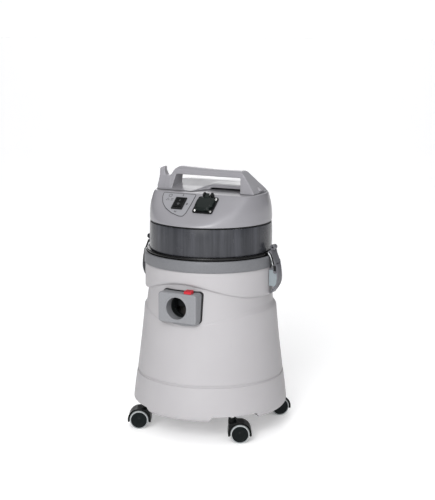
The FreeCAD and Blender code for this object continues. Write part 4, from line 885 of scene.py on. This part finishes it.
# ==================================================== label, switch and socket
def ribbon(name, pts, width, z0, z1, mat, closed=False, place=None):
    P = np.array(pts, float)
    n = len(P)
    L, R = [], []
    for i in range(n):
        a = P[i - 1] if (i > 0 or closed) else P[i]
        b = P[(i + 1) % n] if (i < n - 1 or closed) else P[i]
        t = b - a
        t /= np.linalg.norm(t)
        nn = np.array([-t[1], t[0]]) * width / 2
        L.append(P[i] + nn)
        R.append(P[i] - nn)
    v = [(*p, z0) for p in L] + [(*p, z0) for p in R] + [(*p, z1) for p in L] + [(*p, z1) for p in R]
    f = []
    for i in range(n if closed else n - 1):
        j = (i + 1) % n
        f += [[2 * n + i, 3 * n + i, 3 * n + j, 2 * n + j], [i, j, n + j, n + i], [i, 2 * n + i, 2 * n + j, j], [n + i, n + j, 3 * n + j, 3 * n + i]]
    if not closed:
        e = n - 1
        f += [[0, n, 3 * n, 2 * n], [e, 2 * n + e, 3 * n + e, n + e]]
    return build(name, v, f, mat, sharp=30, place=place)


label_pts = round_poly([(-88.0, 92.0, 3), (-86.0, 78.0, 20), (-78.0, 60.0, 30), (-64.0, 44.0, 30), (-44.0, 31.0, 30), (-22.0, 23.0, 6), (-12.0, 23.0, 5),
                        (-8.0, 34.0, 20), (-6.0, 60.0, 40), (-5.0, 92.0, 3)], seg=5)
film = prism("label_film", label_pts, 0.25, 0.62, M["label"], place=FACE)
give(film, "head", "label_film", "control_label")
outline = ribbon("label_outline", label_pts, 1.2, 0.3, 0.74, M["mark"], closed=True, place=FACE)
give(outline, "head", "label_film")

# rocker switch
swp = face_place(-36.0, 60.8)


def bezel_f(P):
    b = sbox(P, (-14, -18, -3), (14, 18, 3.5), 1.1)
    w = np.maximum(np.abs(P[:, 0]) - 10.0, np.abs(P[:, 1]) - 14.0)
    body = sbox(P, (-11.5, -15.5, -20), (11.5, 15.5, 0.5), 0.4)
    return rmax(0.5, np.minimum(b, body), -np.maximum(w, -9.6 - P[:, 2]))


bezel = solid("switch_bezel", bezel_f, (-15, -19, -21), (15, 19, 5), 0.55, M["black"], place=swp)
give(bezel, "head", "black_plastic", "switch_housing")
rock_flat = Flat([(-12.5, 4.7, 0.8), (0.0, 3.0, 12), (12.5, 4.7, 0.8), (12.3, 1.0, 1), (7.0, -5.0, 1), (3.0, -7.6, 1), (-3.0, -7.6, 1), (-7.0, -5.0, 1), (-12.3, 1.0, 1)], step=0.15, pad=4)


def rocker_f(P):
    d = rmax(0.7, rock_flat(P[:, 1], P[:, 2]), np.abs(P[:, 0]) - 9.6)
    for k in range(3):
        y0 = 9.2 - 1.7 * k
        g = np.maximum(np.abs(P[:, 1] + y0) - 0.42, np.abs(P[:, 0]) - 6.5)
        d = rmax(0.2, d, -np.maximum(g, 3.1 - P[:, 2]))
    return d


rocker = solid("rocker", rocker_f, (-10.4, -13.6, -8.4), (10.4, 13.6, 5.6), 0.42, M["rocker"], place=swp)
give(rocker, "rocker", "black_plastic", "switch_rocker")
tick = ribbon("rocker_mark_one", [(0, 5.4), (0, 9.8)], 1.0, 3.4, 4.28, M["mark_white"], place=swp)
give(tick, "rocker", "black_plastic")
ring_pts = [(2.1 * math.sin(a), -3.4 + 2.6 * math.cos(a)) for a in np.linspace(0, 2 * math.pi, 28, endpoint=False)]
zero = ribbon("rocker_mark_zero", ring_pts, 0.7, 3.0, 3.72, M["mark_white"], closed=True, place=swp)
give(zero, "rocker", "black_plastic")

# printed marks round the switch: 0, I, II and two small plain signs
marks = [
    ("mark_one", [(-36, 84.4), (-36, 89.8)], 1.5, False),
    ("mark_zero", [(-16.5 + 1.8 * math.sin(a), 61 + 2.4 * math.cos(a)) for a in np.linspace(0, 2 * math.pi, 24, endpoint=False)], 1.1, True),
    ("mark_two_a", [(-38.0, 33.0), (-38.0, 38.0)], 1.3, False),
    ("mark_two_b", [(-34.4, 33.0), (-34.4, 38.0)], 1.3, False),
    ("mark_sign_a", [(-71, 80.5), (-64, 80.5), (-64, 87), (-71, 87)], 1.2, True),
    ("mark_sign_b", [(-73.5, 69.0), (-69.5, 75.6), (-65.5, 69.0)], 1.2, True),
    ("mark_sign_c", [(-62, 69.6), (-56, 69.6)], 1.2, False),
    ("mark_sign_d", [(-62, 73.8), (-56, 73.8)], 1.2, False),
]
for nm, pts, w, cl in marks:
    o = ribbon(nm, pts, w, 0.5, 0.76, M["mark"], closed=cl, place=FACE)
    give(o, "head", "label_film")

# socket
skp = face_place(31.0, 60.8)
SC = [(-19, -19), (19, -19), (19, 19), (-19, 19)]


def socket_f(P):
    fl = rmax(0.9, sd_rr(P[:, 0], P[:, 1], 25, 25, 5.0), np.abs(P[:, 2] - 1.9) - 1.9)
    cup = scyl(P, (0, 0), 20.9, 2, -26, 1, 0.6)
    kn = np.minimum(sbox(P, (-12.5, 19.6, 2), (-6.5, 29.6, 14.2), 1.8), sbox(P, (6.5, 19.6, 2), (12.5, 29.6, 14.2), 1.8))
    d = rmin(0.8, np.minimum(fl, cup), kn)
    bore = np.maximum(np.hypot(P[:, 0], P[:, 1]) - 19.5, -14 - P[:, 2])
    rim = np.abs(np.hypot(P[:, 0], P[:, 1]) - 21.4) - 0.7
    d = rmin(0.3, d, rmax(0.3, rim, np.abs(P[:, 2] - 3.6) - 0.5))
    sc = np.min([np.hypot(P[:, 0] - a, P[:, 1] - b) - 3.6 for a, b in SC], axis=0)
    d = rmax(0.35, d, -np.maximum(sc, 2.4 - P[:, 2]))
    return rmax(0.4, d, -bore)


def sd_rr(x, y, hx, hy, r):
    qx, qy = np.abs(x) - hx + r, np.abs(y) - hy + r
    return np.hypot(np.maximum(qx, 0), np.maximum(qy, 0)) + np.minimum(np.maximum(qx, qy), 0) - r


sock = solid("socket_frame", socket_f, (-27, -27, -28), (27, 31, 14), 0.7, M["black"], place=skp)
give(sock, "head", "black_plastic", "socket_housing")


def insert_f(P):
    d = scyl(P, (0, 0), 19.3, 2, -23.4, -14.4, 0.5)
    pins = np.minimum(np.hypot(P[:, 0] - 9.5, P[:, 1]), np.hypot(P[:, 0] + 9.5, P[:, 1])) - 2.6
    return rmax(0.3, d, -pins)


ins = solid("socket_contacts", insert_f, (-20.5, -20.5, -25), (20.5, 20.5, -13), 0.75, M["carbon"], place=skp)
give(ins, "head", "insert_plastic", "socket_insert")
lid_flat = Flat([(-14.0, -21.5, 2.2), (14.0, -21.5, 2.2), (17.8, -18.0, 1.5), (17.8, -11.5, 1.0), (21.8, -8.0, 1.5), (21.8, 10.0, 2), (16.0, 17.6, 2), (-16.0, 17.6, 2), (-21.8, 10.0, 2),
                 (-21.8, -8.0, 1.5), (-17.8, -11.5, 1.0), (-17.8, -18.0, 1.5)], step=0.2, pad=5)


def lid_f(P):
    x, y, z = P[:, 0], P[:, 1], P[:, 2]
    o = lid_flat(x, y)
    crown = 11.2 - 0.0016 * (x * x + y * y)
    base = rmax(1.7, o, z - crown, 4.25 - z)
    raised = rmax(0.8, lid_flat(x * 1.22, y * 1.22) / 1.22, z - crown - 0.9, 8 - z)
    d = rmin(1.0, base, raised)
    arm = sbox(P, (-6.1, 13, 6.2), (6.1, 28.2, 13.0), 1.6)
    eye = rmax(0.3, np.hypot(y - 25.4, z - 8.4) - 3.0, np.abs(x + 2) - 4.0)
    d = rmin(1.2, d, arm)
    d = np.minimum(d, eye)
    d = np.maximum(d, -(rmax(0.1, np.hypot(y - 25.4, z - 8.4) - 1.55, np.abs(x) - 30)))
    lip = rmax(0.6, np.abs(x) - 7.5, np.abs(y + 21.0) - 1.6, np.abs(z - 7.4) - 2.6)
    d = rmin(0.8, d, lip)
    hollow = rmax(0.6, np.abs(x) - 15, np.abs(y + 3) - 13, z - 7.2)
    notch = np.maximum(np.maximum(x - 8, -x + 2.1), 20.6 - y)
    d = rmax(0.3, d, -notch)
    return rmax(0.5, d, -hollow)


lid = solid("socket_cover", lid_f, (-24, -25, 3), (24, 30, 15), 0.6, M["lid"], place=skp)
give(lid, "lid", "black_plastic", "socket_lid")


def screw_f(P):
    d = 1e9 + 0 * P[:, 0]
    for i, (a, b) in enumerate(SC):
        r = np.hypot(P[:, 0] - a, P[:, 1] - b)
        head = rmax(0.5, r - 3.3, P[:, 2] - 3.95 + 0.03 * r * r, 2.5 - P[:, 2])
        w = 0.5 + i * 0.7
        u = (P[:, 0] - a) * math.cos(w) + (P[:, 1] - b) * math.sin(w)
        v = -(P[:, 0] - a) * math.sin(w) + (P[:, 1] - b) * math.cos(w)
        cross = np.minimum(np.maximum(np.abs(u) - 0.45, np.abs(v) - 2.0), np.maximum(np.abs(v) - 0.45, np.abs(u) - 2.0))
        head = np.maximum(head, -np.maximum(cross, 3.0 - P[:, 2]))
        d = np.minimum(d, head)
    return d


scr = solid("socket_screw_heads", screw_f, (-23, -23, 2), (23, 23, 4.6), 0.35, M["bright"], place=skp)
give(scr, "head", "steel", "socket_screws")

# ====================================================================== inlet
ihz = 312.0


def inlet_f(P):
    x, y, z = P[:, 0], P[:, 1], P[:, 2] - ihz
    r = np.hypot(x, y)
    front = rmax(3.6, sd_rr(x - 1.3, z - 0.5, 47.6, 34.5, 7.0), -174.0 - y, y + 136.0)
    # a curved chin under the block follows the drum
    chin = np.interp(x, [-54, -30, -15, 10, 35, 51, 54], [-34.0, -35.5, -40.0, -42.6, -41.0, -36.0, -34.0])
    fl = rmax(2.0, sd_rr(x - 0.3, z, 46.4, 60, 9.0), chin - z, z + 24.0, r - 160.0, -160.5 - y)
    d = rmin(0.8, front, fl)
    rb = np.hypot(x, z)
    lipr = rmax(0.5, rb - 29.2, -174.6 - y, y + 170)
    d = rmin(0.6, d, lipr)
    d = rmax(1.0, d, -(rb - 25.0))
    slot = np.maximum(np.abs(x - 26) - 9.8, np.maximum(26.6 - z, np.abs(y + 163.5) - 7.9))
    d = rmax(0.6, d, -slot)
    return np.maximum(d, recess_r(P[:, 2]) - 2.6 - r)


def recess_r(z):
    """Radius of the recess's floor behind the block."""
    return np.interp(z, [262.0, 360.0], [155.6, 145.8])


def inlet_zone(C, N):
    # the bore's walls take the dark throat grey: painted shade
    rb = np.hypot(C[:, 0], C[:, 2] - ihz)
    return np.where((rb < 25.6) & (C[:, 1] > -151.0), 1, 0)


inlet = solid("inlet_moulding", inlet_f, (-54, -176, 266), (54, -130, 353), 0.95, [M["inlet"], M["throat"]], zone=inlet_zone)
give(inlet, "drum", "inlet_plastic", "inlet_housing")
# the throat tube in the same dark grey: painted shade
spig = lathe("inlet_throat", round_poly([(25.3, -138), (28.2, -138, 0.8), (28.2, -151), (25.3, -151)][::-1], seg=3), M["throat"], 96,
             place=Matrix.Translation((0, 0, 0.312)) @ Matrix.Rotation(math.radians(-90), 4, "X"))
give(spig, "drum", "inlet_plastic")


# a black rubber seal round the block where it meets the drum, drawn wide and black as painted shade for the shadow line
# there too
def gasket_f(P):
    x, y, z = P[:, 0], P[:, 1], P[:, 2] - ihz
    o = sd_rr(x - 1.3, z - 0.5, 48.2, 35.1, 7.6)
    rf = recess_r(P[:, 2])
    return rmax(0.4, np.abs(o) - 1.3, np.abs(np.hypot(x, y) - rf - 1.6) - 3.0, np.where(x > 36.0, -40.0, -30.0) - z)


gask = solid("inlet_gasket_shadow_line", gasket_f, (-51, -163, 273), (54, -132, 352), 0.6, M["rubber"])
give(gask, "drum", "seal_rubber")


def catch_f(P):
    x, y, z = P[:, 0] - 26, P[:, 1] + 163.5, P[:, 2]
    top = 353.6 + 0.05 * x + 0.16 * y
    d = rmax(1.6, np.abs(x) - 9.3, np.abs(y) - 7.2, z - top, 340.4 - z)
    for k in range(3):
        d = rmax(0.3, d, -np.maximum(np.abs(x + 4 - 4 * k) - 0.5, top - 0.8 - z))
    return d


catch = solid("release_catch", catch_f, (13, -172.5, 339), (39, -154.5, 356), 0.6, M["red"])
give(catch, "catch", "red_plastic", "inlet_catch")

# ==================================================================== latches
HP, LP = (169.5, 382.0), (165.5, 394.0)
bracket_flat = Flat([(146.0, 354.0), (170.0, 354.0, 1.5), (170.0, 374.0, 1.5), (146.0, 374.0)], step=0.3)
ear_flat = Flat([(146.0, 370.0), (167.0, 370.0), (169.7, 391.5, 3), (168.5, 397.2, 3), (165.5, 398.4, 3), (161.5, 397.2, 3), (157.4, 389.0, 3), (146.0, 388.0)], step=0.25)


def bracket_f(P):
    x, y, z = P[:, 0], P[:, 1], P[:, 2]
    d = rmax(1.0, bracket_flat(x, z), np.abs(y) - 9.0)
    e = rmax(0.6, ear_flat(x, z), np.abs(np.abs(y) - 7.5) - 1.5)
    d = rmin(0.8, d, e)
    d = np.maximum(d, -(np.hypot(x - LP[0], z - LP[1]) - 2.02))
    return np.maximum(d, 152.4 - np.hypot(x, y))


lever_poly = [(170.0, 399.0, 1.2), (172.6, 398.6, 1.2), (174.6, 391.5, 20), (176.2, 380.0, 30), (177.0, 369.0, 30), (176.4, 360.0, 20), (173.4, 350.6, 20), (167.6, 340.4, 20), (161.6, 332.4, 8),
              (155.6, 328.6, 1.4), (154.6, 331.4, 1.2), (160.0, 336.4, 8), (165.0, 344.0, 14), (169.6, 353.0, 14), (172.4, 362.0, 16), (172.8, 372.0, 16), (172.2, 382.0, 16), (171.0, 391.0, 8)]
lever_flat = Flat(lever_poly, step=0.25)
cheek_flat = Flat([(160.9, 394.0, 3.0), (162.1, 397.4, 3.0), (165.5, 398.8, 3), (172.4, 398.2, 1), (174.2, 391.0), (175.6, 366.0), (172.4, 357.0, 2), (168.4, 370.0, 8), (165.0, 381.0, 4), (161.7, 391.0, 2)], step=0.25)


def lever_f(P):
    x, y, z = P[:, 0], P[:, 1], P[:, 2]
    half = np.interp(z, [331, 340, 350, 398], [10.4, 12.0, 12.6, 12.6])
    pl = rmax(1.3, lever_flat(x, z), np.abs(y) - half)
    ck = rmax(0.6, cheek_flat(x, z), np.abs(np.abs(y) - 11.1) - 1.5)
    d = rmin(1.0, pl, ck)
    for k in range(3):
        g = np.maximum(np.abs(z - 347.5 - 4.0 * k) - 0.55, np.abs(y) - 8.5)
        outer = np.interp(z, [329, 332.4, 340.4, 350.6, 360, 369], [156.0, 161.6, 167.6, 173.4, 176.4, 177.0])
        d = rmax(0.3, d, -np.maximum(g, outer - 0.75 - x))
    d = np.maximum(d, -(np.hypot(x - LP[0], z - LP[1]) - 2.06))
    return np.maximum(d, -(np.hypot(x - HP[0], z - HP[1]) - 2.25))


hook_flat = Flat([(160.9, 396.0), (159.6, 405.9, 12), (156.0, 414.6, 12), (151.0, 421.2, 1.5), (150.4, 425.4, 1.2), (152.0, 428.6, 2), (156.4, 431.2, 2), (159.4, 430.6, 2), (160.8, 427.4, 4),
                  (163.8, 420.0, 20), (167.4, 411.0, 30), (170.2, 403.0, 30), (172.6, 394.0), (166.0, 394.0)], step=0.2)
arm_flat = Flat([(168.4, 378.2, 2), (171.2, 378.4, 2.5), (172.6, 382.0, 4), (172.4, 393.0, 8), (170.6, 404.0, 4), (169.6, 408.0), (160.8, 408.0), (161.6, 400.0, 5), (165.4, 394.0, 4),
                 (167.0, 388.0, 3), (165.9, 383.6, 2), (165.7, 380.4, 2)], step=0.2)
GROOVE_OUT = ([396.7, 411.2, 422.1, 427.8], [168.2, 164.2, 160.0, 154.2])
GROOVE_IN = ([396.0, 406.2, 416.0, 422.4, 426.0], [162.3, 160.5, 156.6, 151.6, 150.6])


def hook_f(P):
    x, y, z = P[:, 0], P[:, 1], P[:, 2]
    br = rmax(0.9, hook_flat(x, z), np.abs(y) - 15.6, 399.9 - z)
    ar = rmax(0.7, arm_flat(x, z), np.abs(np.abs(y) - 14.3) - 1.3)
    knob = rmax(1.2, np.hypot(x - 160.0, z - 437.0) - 6.3, np.abs(y) - 8.0)
    knob = np.maximum(knob, -rmax(0.3, np.abs(np.hypot(x - 160.0, z - 437.0) - 4.2) - 0.5, 7.2 - np.abs(y)))
    d = rmin(1.6, br, ar)
    d = rmin(1.2, d, knob)
    # the two seams along each flank, cut as narrow grooves; hook_zone paints them black as painted shade
    for zs, xs in (GROOVE_OUT, GROOVE_IN):
        slope = 0.83
        off = np.abs(x - np.interp(z, zs, xs)) * slope
        d = rmax(0.2, d, -np.maximum(off - 1.35, np.maximum(13.9 - np.abs(y), 397.0 - z)))
    st = rmax(0.3, np.hypot(x - HP[0], z - HP[1]) - 2.2, np.abs(np.abs(y) - 11.5) - 2.6)
    d = np.minimum(d, st)
    return rmax(0.3, d, -(np.hypot(x - 160.0, z - 437.0) - 2.2))


def hook_zone(C, N):
    x, y, z = np.abs(C[:, 0]), C[:, 1], C[:, 2]
    off = np.minimum(np.abs(x - np.interp(z, *GROOVE_OUT)), np.abs(x - np.interp(z, *GROOVE_IN))) * 0.83
    # faces in the flank seams and in a low band on each flank take black: painted shade in the grooves and in the notch
    seam = (off < 1.65) & (np.abs(y) > 13.4) & (z > 397.5) & (z < 427.5)
    low = (z < 396.5) & (z > 384.0) & (np.abs(y) > 12.6)
    # the arms between the seams take the pale rib grey: a light part, with a painted highlight in its colour
    rib = (np.abs(y) > 15.0) & (x > np.interp(z, *GROOVE_IN)) & (x < np.interp(z, *GROOVE_OUT)) & (z > 397.5) & (z < 429)
    return np.where(seam | low, 1, np.where(rib, 2, 0))


def mirrored(name, V, Q, N, mats, fm=None):
    return build(name, V * [-1, 1, 1], Q[:, ::-1], mats, normals=N * [-1, 1, 1], face_mat=fm)


for word, f, lo, hi, h, mt, slot in (
        ("bracket", bracket_f, (148, -11, 351), (173, 11, 401), 0.8, "latch", "inlet_plastic"),
        ("lever", lever_f, (152, -14, 326), (180, 14, 401), 0.65, "latch", "latch_plastic"),
        ("hook", hook_f, (148.5, -17, 376), (176, 17, 446), 0.6, "latch", "latch_plastic")):
    V, Q, N = nets(f, lo, hi, h)
    zones = hook_zone(V[Q].mean(1), N[Q].mean(1)) if word == "hook" else None
    node = {"bracket": "latch_bracket", "lever": "latch_lever", "hook": "latch_hook"}[word]
    for side in ("right", "left"):
        body = {"bracket": "drum", "lever": "lever_" + side, "hook": "hook_" + side}[word]
        # the left latch's parts take the darker latch grey: painted shade
        strap = M[mt] if side == "right" else M["latch_dark"]
        mats = [strap, M["black"], M["rib"]] if word == "hook" else strap
        ob = build("%s_%s" % (word, side), V, Q, mats, normals=N, face_mat=zones) if side == "right" else mirrored("%s_%s" % (word, side), V, Q, N, mats, zones)
        give(ob, body, slot, "%s_%s" % (node, side))


def pad_f(P):
    """Side plates of the lever, lighter than its strap."""
    x, y, z = P[:, 0], P[:, 1], P[:, 2]
    d = rmax(0.6, pad_flat(x, z), np.abs(y + 12.0) - 1.0)
    return np.maximum(d, -(np.hypot(x - HP[0], z - HP[1]) - 4.4))


pad_flat = Flat([(154.4, 348.6, 2.0), (154.4, 385.6, 1.6), (163.4, 385.8, 1), (166.0, 383.0, 1), (173.4, 383.0, 1), (174.4, 368.0, 8), (172.4, 354.0, 4), (168.6, 347.4, 3)], step=0.25)
V, Q, N = nets(pad_f, (152, -14.5, 345), (178, -9.5, 389), 0.55)
# the same latch stands on both sides, turned half round: a light plate on one flank, and on the other a plate of the
# darker latch grey, which is painted shade; on the left latch that darker plate faces front
for side in ("right", "left"):
    half = [1, 1, 1] if side == "right" else [-1, -1, 1]
    ob = build("lever_pad_" + side, V * half, Q, M["pad"], normals=N * half)
    give(ob, "lever_" + side, "latch_plastic")
    flip = [1, -1, 1] if side == "right" else [-1, 1, 1]
    ob = build("lever_plate_" + side, V * flip, Q[:, ::-1], M["latch_dark"], normals=N * flip)
    give(ob, "lever_" + side, "latch_plastic")

# ==================================================================== castors
TR, WZ = 17.5, 22.0
SWIVEL = {"front_left": 204.0, "front_right": 27.0, "rear_right": 40.0, "rear_left": 200.0}
CORNER = {"front_left": (-111, -111), "front_right": (111, -111), "rear_right": (111, 111), "rear_left": (-111, 111)}


def hood_f(P):
    x, y, z = P[:, 0], P[:, 1], P[:, 2]
    ra = np.hypot(x - TR, z - WZ)
    outer = rmin(4.0, ra - 26.6, sbox(P, (-8.8, -40, 14), (14, 40, 47.6), 3.5))
    body = rmax(1.6, outer, np.abs(y) - 20.0, 16.5 - z)
    well = np.maximum(ra - 23.4, 6.8 - np.abs(y))
    body = rmax(0.6, body, -well)
    web = rmax(0.8, ra - 25.0, np.abs(y) - 6.8, 14.0 - z)
    boss = rmax(0.8, np.hypot(x, y) - 9.0, z - 56.2, 40.0 - z)
    lug = sbox(P, (-9.0, -7, 42), (6, 7, 50.5), 2.0)
    d = rmin(1.5, rmin(0.8, body, web), boss, lug)
    d = np.maximum(d, -(np.hypot(x, y) - 5.08))
    return np.maximum(d, -(ra - 2.52))


HV, HQ, HN = nets(hood_f, (-12, -22, 12), (47, 22, 58), 0.85)
hood_mesh = None
tread_prof = round_poly([(18.9, 7.5), (21.2, 7.5, 0.0), (22.0, 9.6, 1.6), (22.0, 18.8, 1.8), (20.8, 20.7, 0.8), (18.9, 20.7)], seg=5)
hub_prof = round_poly([(2.6, 7.6), (19.1, 7.6), (19.1, 20.6), (18.6, 21.0, 0.5), (17.2, 21.0, 0.8), (16.2, 20.0, 1.2), (8.0, 19.4, 6.0), (5.0, 19.6, 0.8), (3.6, 20.4, 1.0), (0.0, 20.5)],
                      closed=False, seg=4)
for cname, (cx, cy) in CORNER.items():
    place = Matrix.Translation((cx * MM, cy * MM, 0)) @ Matrix.Rotation(math.radians(SWIVEL[cname]), 4, "Z")
    if hood_mesh is None:
        ob = build("hood_" + cname, HV, HQ, M["hood"], normals=HN)
        hood_mesh = ob.data
    else:
        ob = bpy.data.objects.new("hood_" + cname, hood_mesh)
        scene.collection.objects.link(ob)
    ob.matrix_world = place
    give(ob, "swivel_" + cname, "castor_black", "castor_%s_hood" % cname)
    for w, sgn in (("a", 1), ("b", -1)):
        turn = Matrix.Translation((TR * MM, 0, WZ * MM)) @ Matrix.Rotation(math.radians(-90 * sgn), 4, "X")
        t = lathe("tread_%s_%s" % (cname, w), tread_prof, M["tread"], 72)
        hb = lathe("hub_%s_%s" % (cname, w), hub_prof, M["hub"], 72, closed=False)
        for o in (t, hb):
            o.matrix_world = place @ turn
        give(t, "wheel_%s_%s" % (cname, w), "castor_wheel", "castor_%s_wheel_%s" % (cname, w))
        give(hb, "wheel_%s_%s" % (cname, w), "castor_wheel")

# ===================================================================== filter
PL = 60
pa = np.linspace(0, 2 * math.pi, PL * 8, endpoint=False)
tri = np.abs(((pa * PL / (2 * math.pi)) % 1.0) * 2 - 1)
soft = 0.5 - 0.5 * np.cos(math.pi * tri)
ro = 74.5 + 7.6 * soft
V, F = [], []
zs = np.linspace(220.4, 364.6, 12)
for z in zs:
    bulge = 0.5 * np.sin((z - 220.4) / 144.2 * math.pi)
    V.append(np.stack([(ro + bulge) * np.cos(pa), (ro + bulge) * np.sin(pa), 0 * pa + z], 1))
for z in zs[::-1]:
    V.append(np.stack([(ro - 1.6) * np.cos(pa), (ro - 1.6) * np.sin(pa), 0 * pa + z], 1))
V = np.concatenate(V)
n = len(pa)
nr = len(zs) * 2
for k in range(nr):
    a, b = k * n, ((k + 1) % nr) * n
    for j in range(n):
        F.append([a + j, a + (j + 1) % n, b + (j + 1) % n, b + j])
pleats = build("filter_pleats", V, F, M["cloth"])
give(pleats, "head", "filter_paper", "filter_cartridge")
for nm, prof in (("filter_base", [(0, 214.8), (83.6, 214.8, 2.0), (83.6, 221.6, 1.0), (66, 221.6), (66, 219), (0, 219)]),
                 ("filter_collar", [(56.6, 363.6), (83.6, 363.6, 1.0), (83.6, 371.6, 2.0), (56.6, 371.6)])):
    o = lathe(nm, round_poly(prof, seg=4), M["rubber"], 160, closed=True)
    give(o, "head", "filter_paper")

# ================================================= finishes for the CAD nodes
# the inlet deflector takes the dark throat grey: painted shade inside the inlet
FINISH = {
    "inlet_seal": "rubber", "inlet_deflector": "throat", "inlet_screws": "steel", "catch_spring": "steel", "castor_stems": "steel", "latch_pins": "steel",
    "exhaust_grille": "cap", "cord_inlet": "black", "lid_pin": "steel", "lid_spring": "steel", "cap_screws": "steel", "fan_casing": "alloy", "impeller": "alloy",
    "motor_rotor": "iron", "motor_stator": "copper", "motor_frame": "alloy", "motor_bearings": "steel", "motor_brushes": "carbon", "start_board": "board",
    "float_cage": "cage", "float_ball": "red"}
for n, o in NODES.items():
    key = FINISH.get(n, "steel" if n.endswith("_axle") else None)
    if o.hide_render or key is None:
        continue
    if not o.material_slots:
        o.data.materials.append(M[key])
    for s in o.material_slots:
        s.material = M[key]

# ============================================================ camera and light
cam_data = bpy.data.cameras.new("camera")
cam = bpy.data.objects.new("camera", cam_data)
scene.collection.objects.link(cam)
cam.matrix_world = (Matrix.Translation((1.2593, -2.5479, 0.962)) @ Matrix.Rotation(math.radians(25.988), 4, "Z")
                    @ Matrix.Rotation(math.radians(79.12), 4, "X") @ Matrix.Rotation(math.radians(0.30), 4, "Z"))
cam_data.lens = 88.99
cam_data.sensor_width = 36.0
cam_data.clip_end = 200.0
scene.camera = cam
scene.view_settings.view_transform = "Standard"

world = bpy.data.worlds.new("studio")
scene.world = world
world.use_nodes = True
wt = world.node_tree
bg = wt.nodes["Background"]
# two tall soft boxes either side of the camera, a white wall behind the object, dark at the sides
CAM_AZ = math.radians(26.3)
SKY = [(-180, 3.1), (-160, 0.02), (-45, 0.02), (-25, 3.6), (-8, 2.2), (8, 0.55), (25, 2.6), (45, 0.02), (140, 0.02), (160, 0.25), (180, 3.1)]
geo = wt.nodes.new("ShaderNodeTexCoord")
turn_w = wt.nodes.new("ShaderNodeMapping")
turn_w.vector_type = "VECTOR"
turn_w.inputs["Rotation"].default_value = (0, 0, -CAM_AZ)
wt.links.new(geo.outputs["Generated"], turn_w.inputs[0])
sepw = wt.nodes.new("ShaderNodeSeparateXYZ")
wt.links.new(turn_w.outputs[0], sepw.inputs[0])
neg = wt.nodes.new("ShaderNodeMath")
neg.operation = "MULTIPLY"
neg.inputs[1].default_value = -1.0
wt.links.new(sepw.outputs[1], neg.inputs[0])
azi = wt.nodes.new("ShaderNodeMath")
azi.operation = "ARCTAN2"
wt.links.new(sepw.outputs[0], azi.inputs[0])
wt.links.new(neg.outputs[0], azi.inputs[1])
mr = wt.nodes.new("ShaderNodeMapRange")
for k, v in zip((1, 2, 3, 4), (-math.pi, math.pi, 0.0, 1.0)):
    mr.inputs[k].default_value = v
wt.links.new(azi.outputs[0], mr.inputs[0])
el = wt.nodes.new("ShaderNodeValToRGB")
wt.links.new(mr.outputs[0], el.inputs[0])
for i, (a, v) in enumerate(SKY):
    e = el.color_ramp.elements[0] if i == 0 else (el.color_ramp.elements[1] if i == 1 else el.color_ramp.elements.new((a + 180) / 360))
    e.position = (a + 180) / 360
for (a, v), e in zip(SKY, sorted(el.color_ramp.elements, key=lambda q: q.position)):
    e.color = (v, v, v * 1.01, 1)
high = wt.nodes.new("ShaderNodeMapRange")
high.interpolation_type = "SMOOTHSTEP"
for k, v in zip((1, 2, 3, 4), (0.55, 0.92, 0.0, 1.0)):
    high.inputs[k].default_value = v
wt.links.new(sepw.outputs[2], high.inputs[0])
skymix = wt.nodes.new("ShaderNodeMix")
skymix.data_type = "RGBA"
wt.links.new(high.outputs[0], skymix.inputs[0])
wt.links.new(el.outputs[0], skymix.inputs[6])
skymix.inputs[7].default_value = (1.0, 1.0, 1.01, 1)
# the lens itself sees a plain white wall all round
lens = wt.nodes.new("ShaderNodeLightPath")
wall = wt.nodes.new("ShaderNodeMix")
wall.data_type = "RGBA"
wt.links.new(lens.outputs["Is Camera Ray"], wall.inputs[0])
wt.links.new(skymix.outputs[2], wall.inputs[6])
wall.inputs[7].default_value = (1.02, 1.02, 1.02, 1)
wt.links.new(wall.outputs[2], bg.inputs[0])
bg.inputs[1].default_value = 1.0


def area(name, loc, aim, size, power, color=(1, 1, 1)):
    d = bpy.data.lights.new(name, "AREA")
    d.shape, d.size, d.size_y, d.energy, d.color = "RECTANGLE", size[0], size[1], power, color
    o = bpy.data.objects.new(name, d)
    scene.collection.objects.link(o)
    o.location = loc
    o.rotation_euler = (Vector(aim) - Vector(loc)).to_track_quat("-Z", "Y").to_euler()
    return o


def around(rel, dist, height):
    """A place at an angle from the camera's own, as seen from the object."""
    w = CAM_AZ + math.radians(rel)
    return (dist * math.sin(w), -dist * math.cos(w), height)


area("key", around(-13, 3.0, 1.8), (0, 0, 0.32), (1.1, 1.6), 58)
area("low", around(30, 3.0, 0.8), (0, 0, 0.32), (1.1, 1.6), 1.5)

me = bpy.data.meshes.new("floor")
R = 45.0
ring = [(R * math.cos(a), R * math.sin(a), 0) for a in np.linspace(0, 2 * math.pi, 96, endpoint=False)]
me.from_pydata(ring, [], [list(range(96))])
floor_ob = bpy.data.objects.new("floor", me)
scene.collection.objects.link(floor_ob)
fs = Shade("floor_white")
fs.link(fs.ramp(fs.noise(2.0, 2.0), [(0.3, (0.93, 0.93, 0.93)), (0.7, (0.96, 0.96, 0.96))]), fs.bsdf.inputs["Base Color"])
fs.set(Roughness=0.7, Specular_IOR_Level=0.2, Emission_Color=(1, 1, 1, 1), Emission_Strength=0.20)
me.materials.append(fs.m)
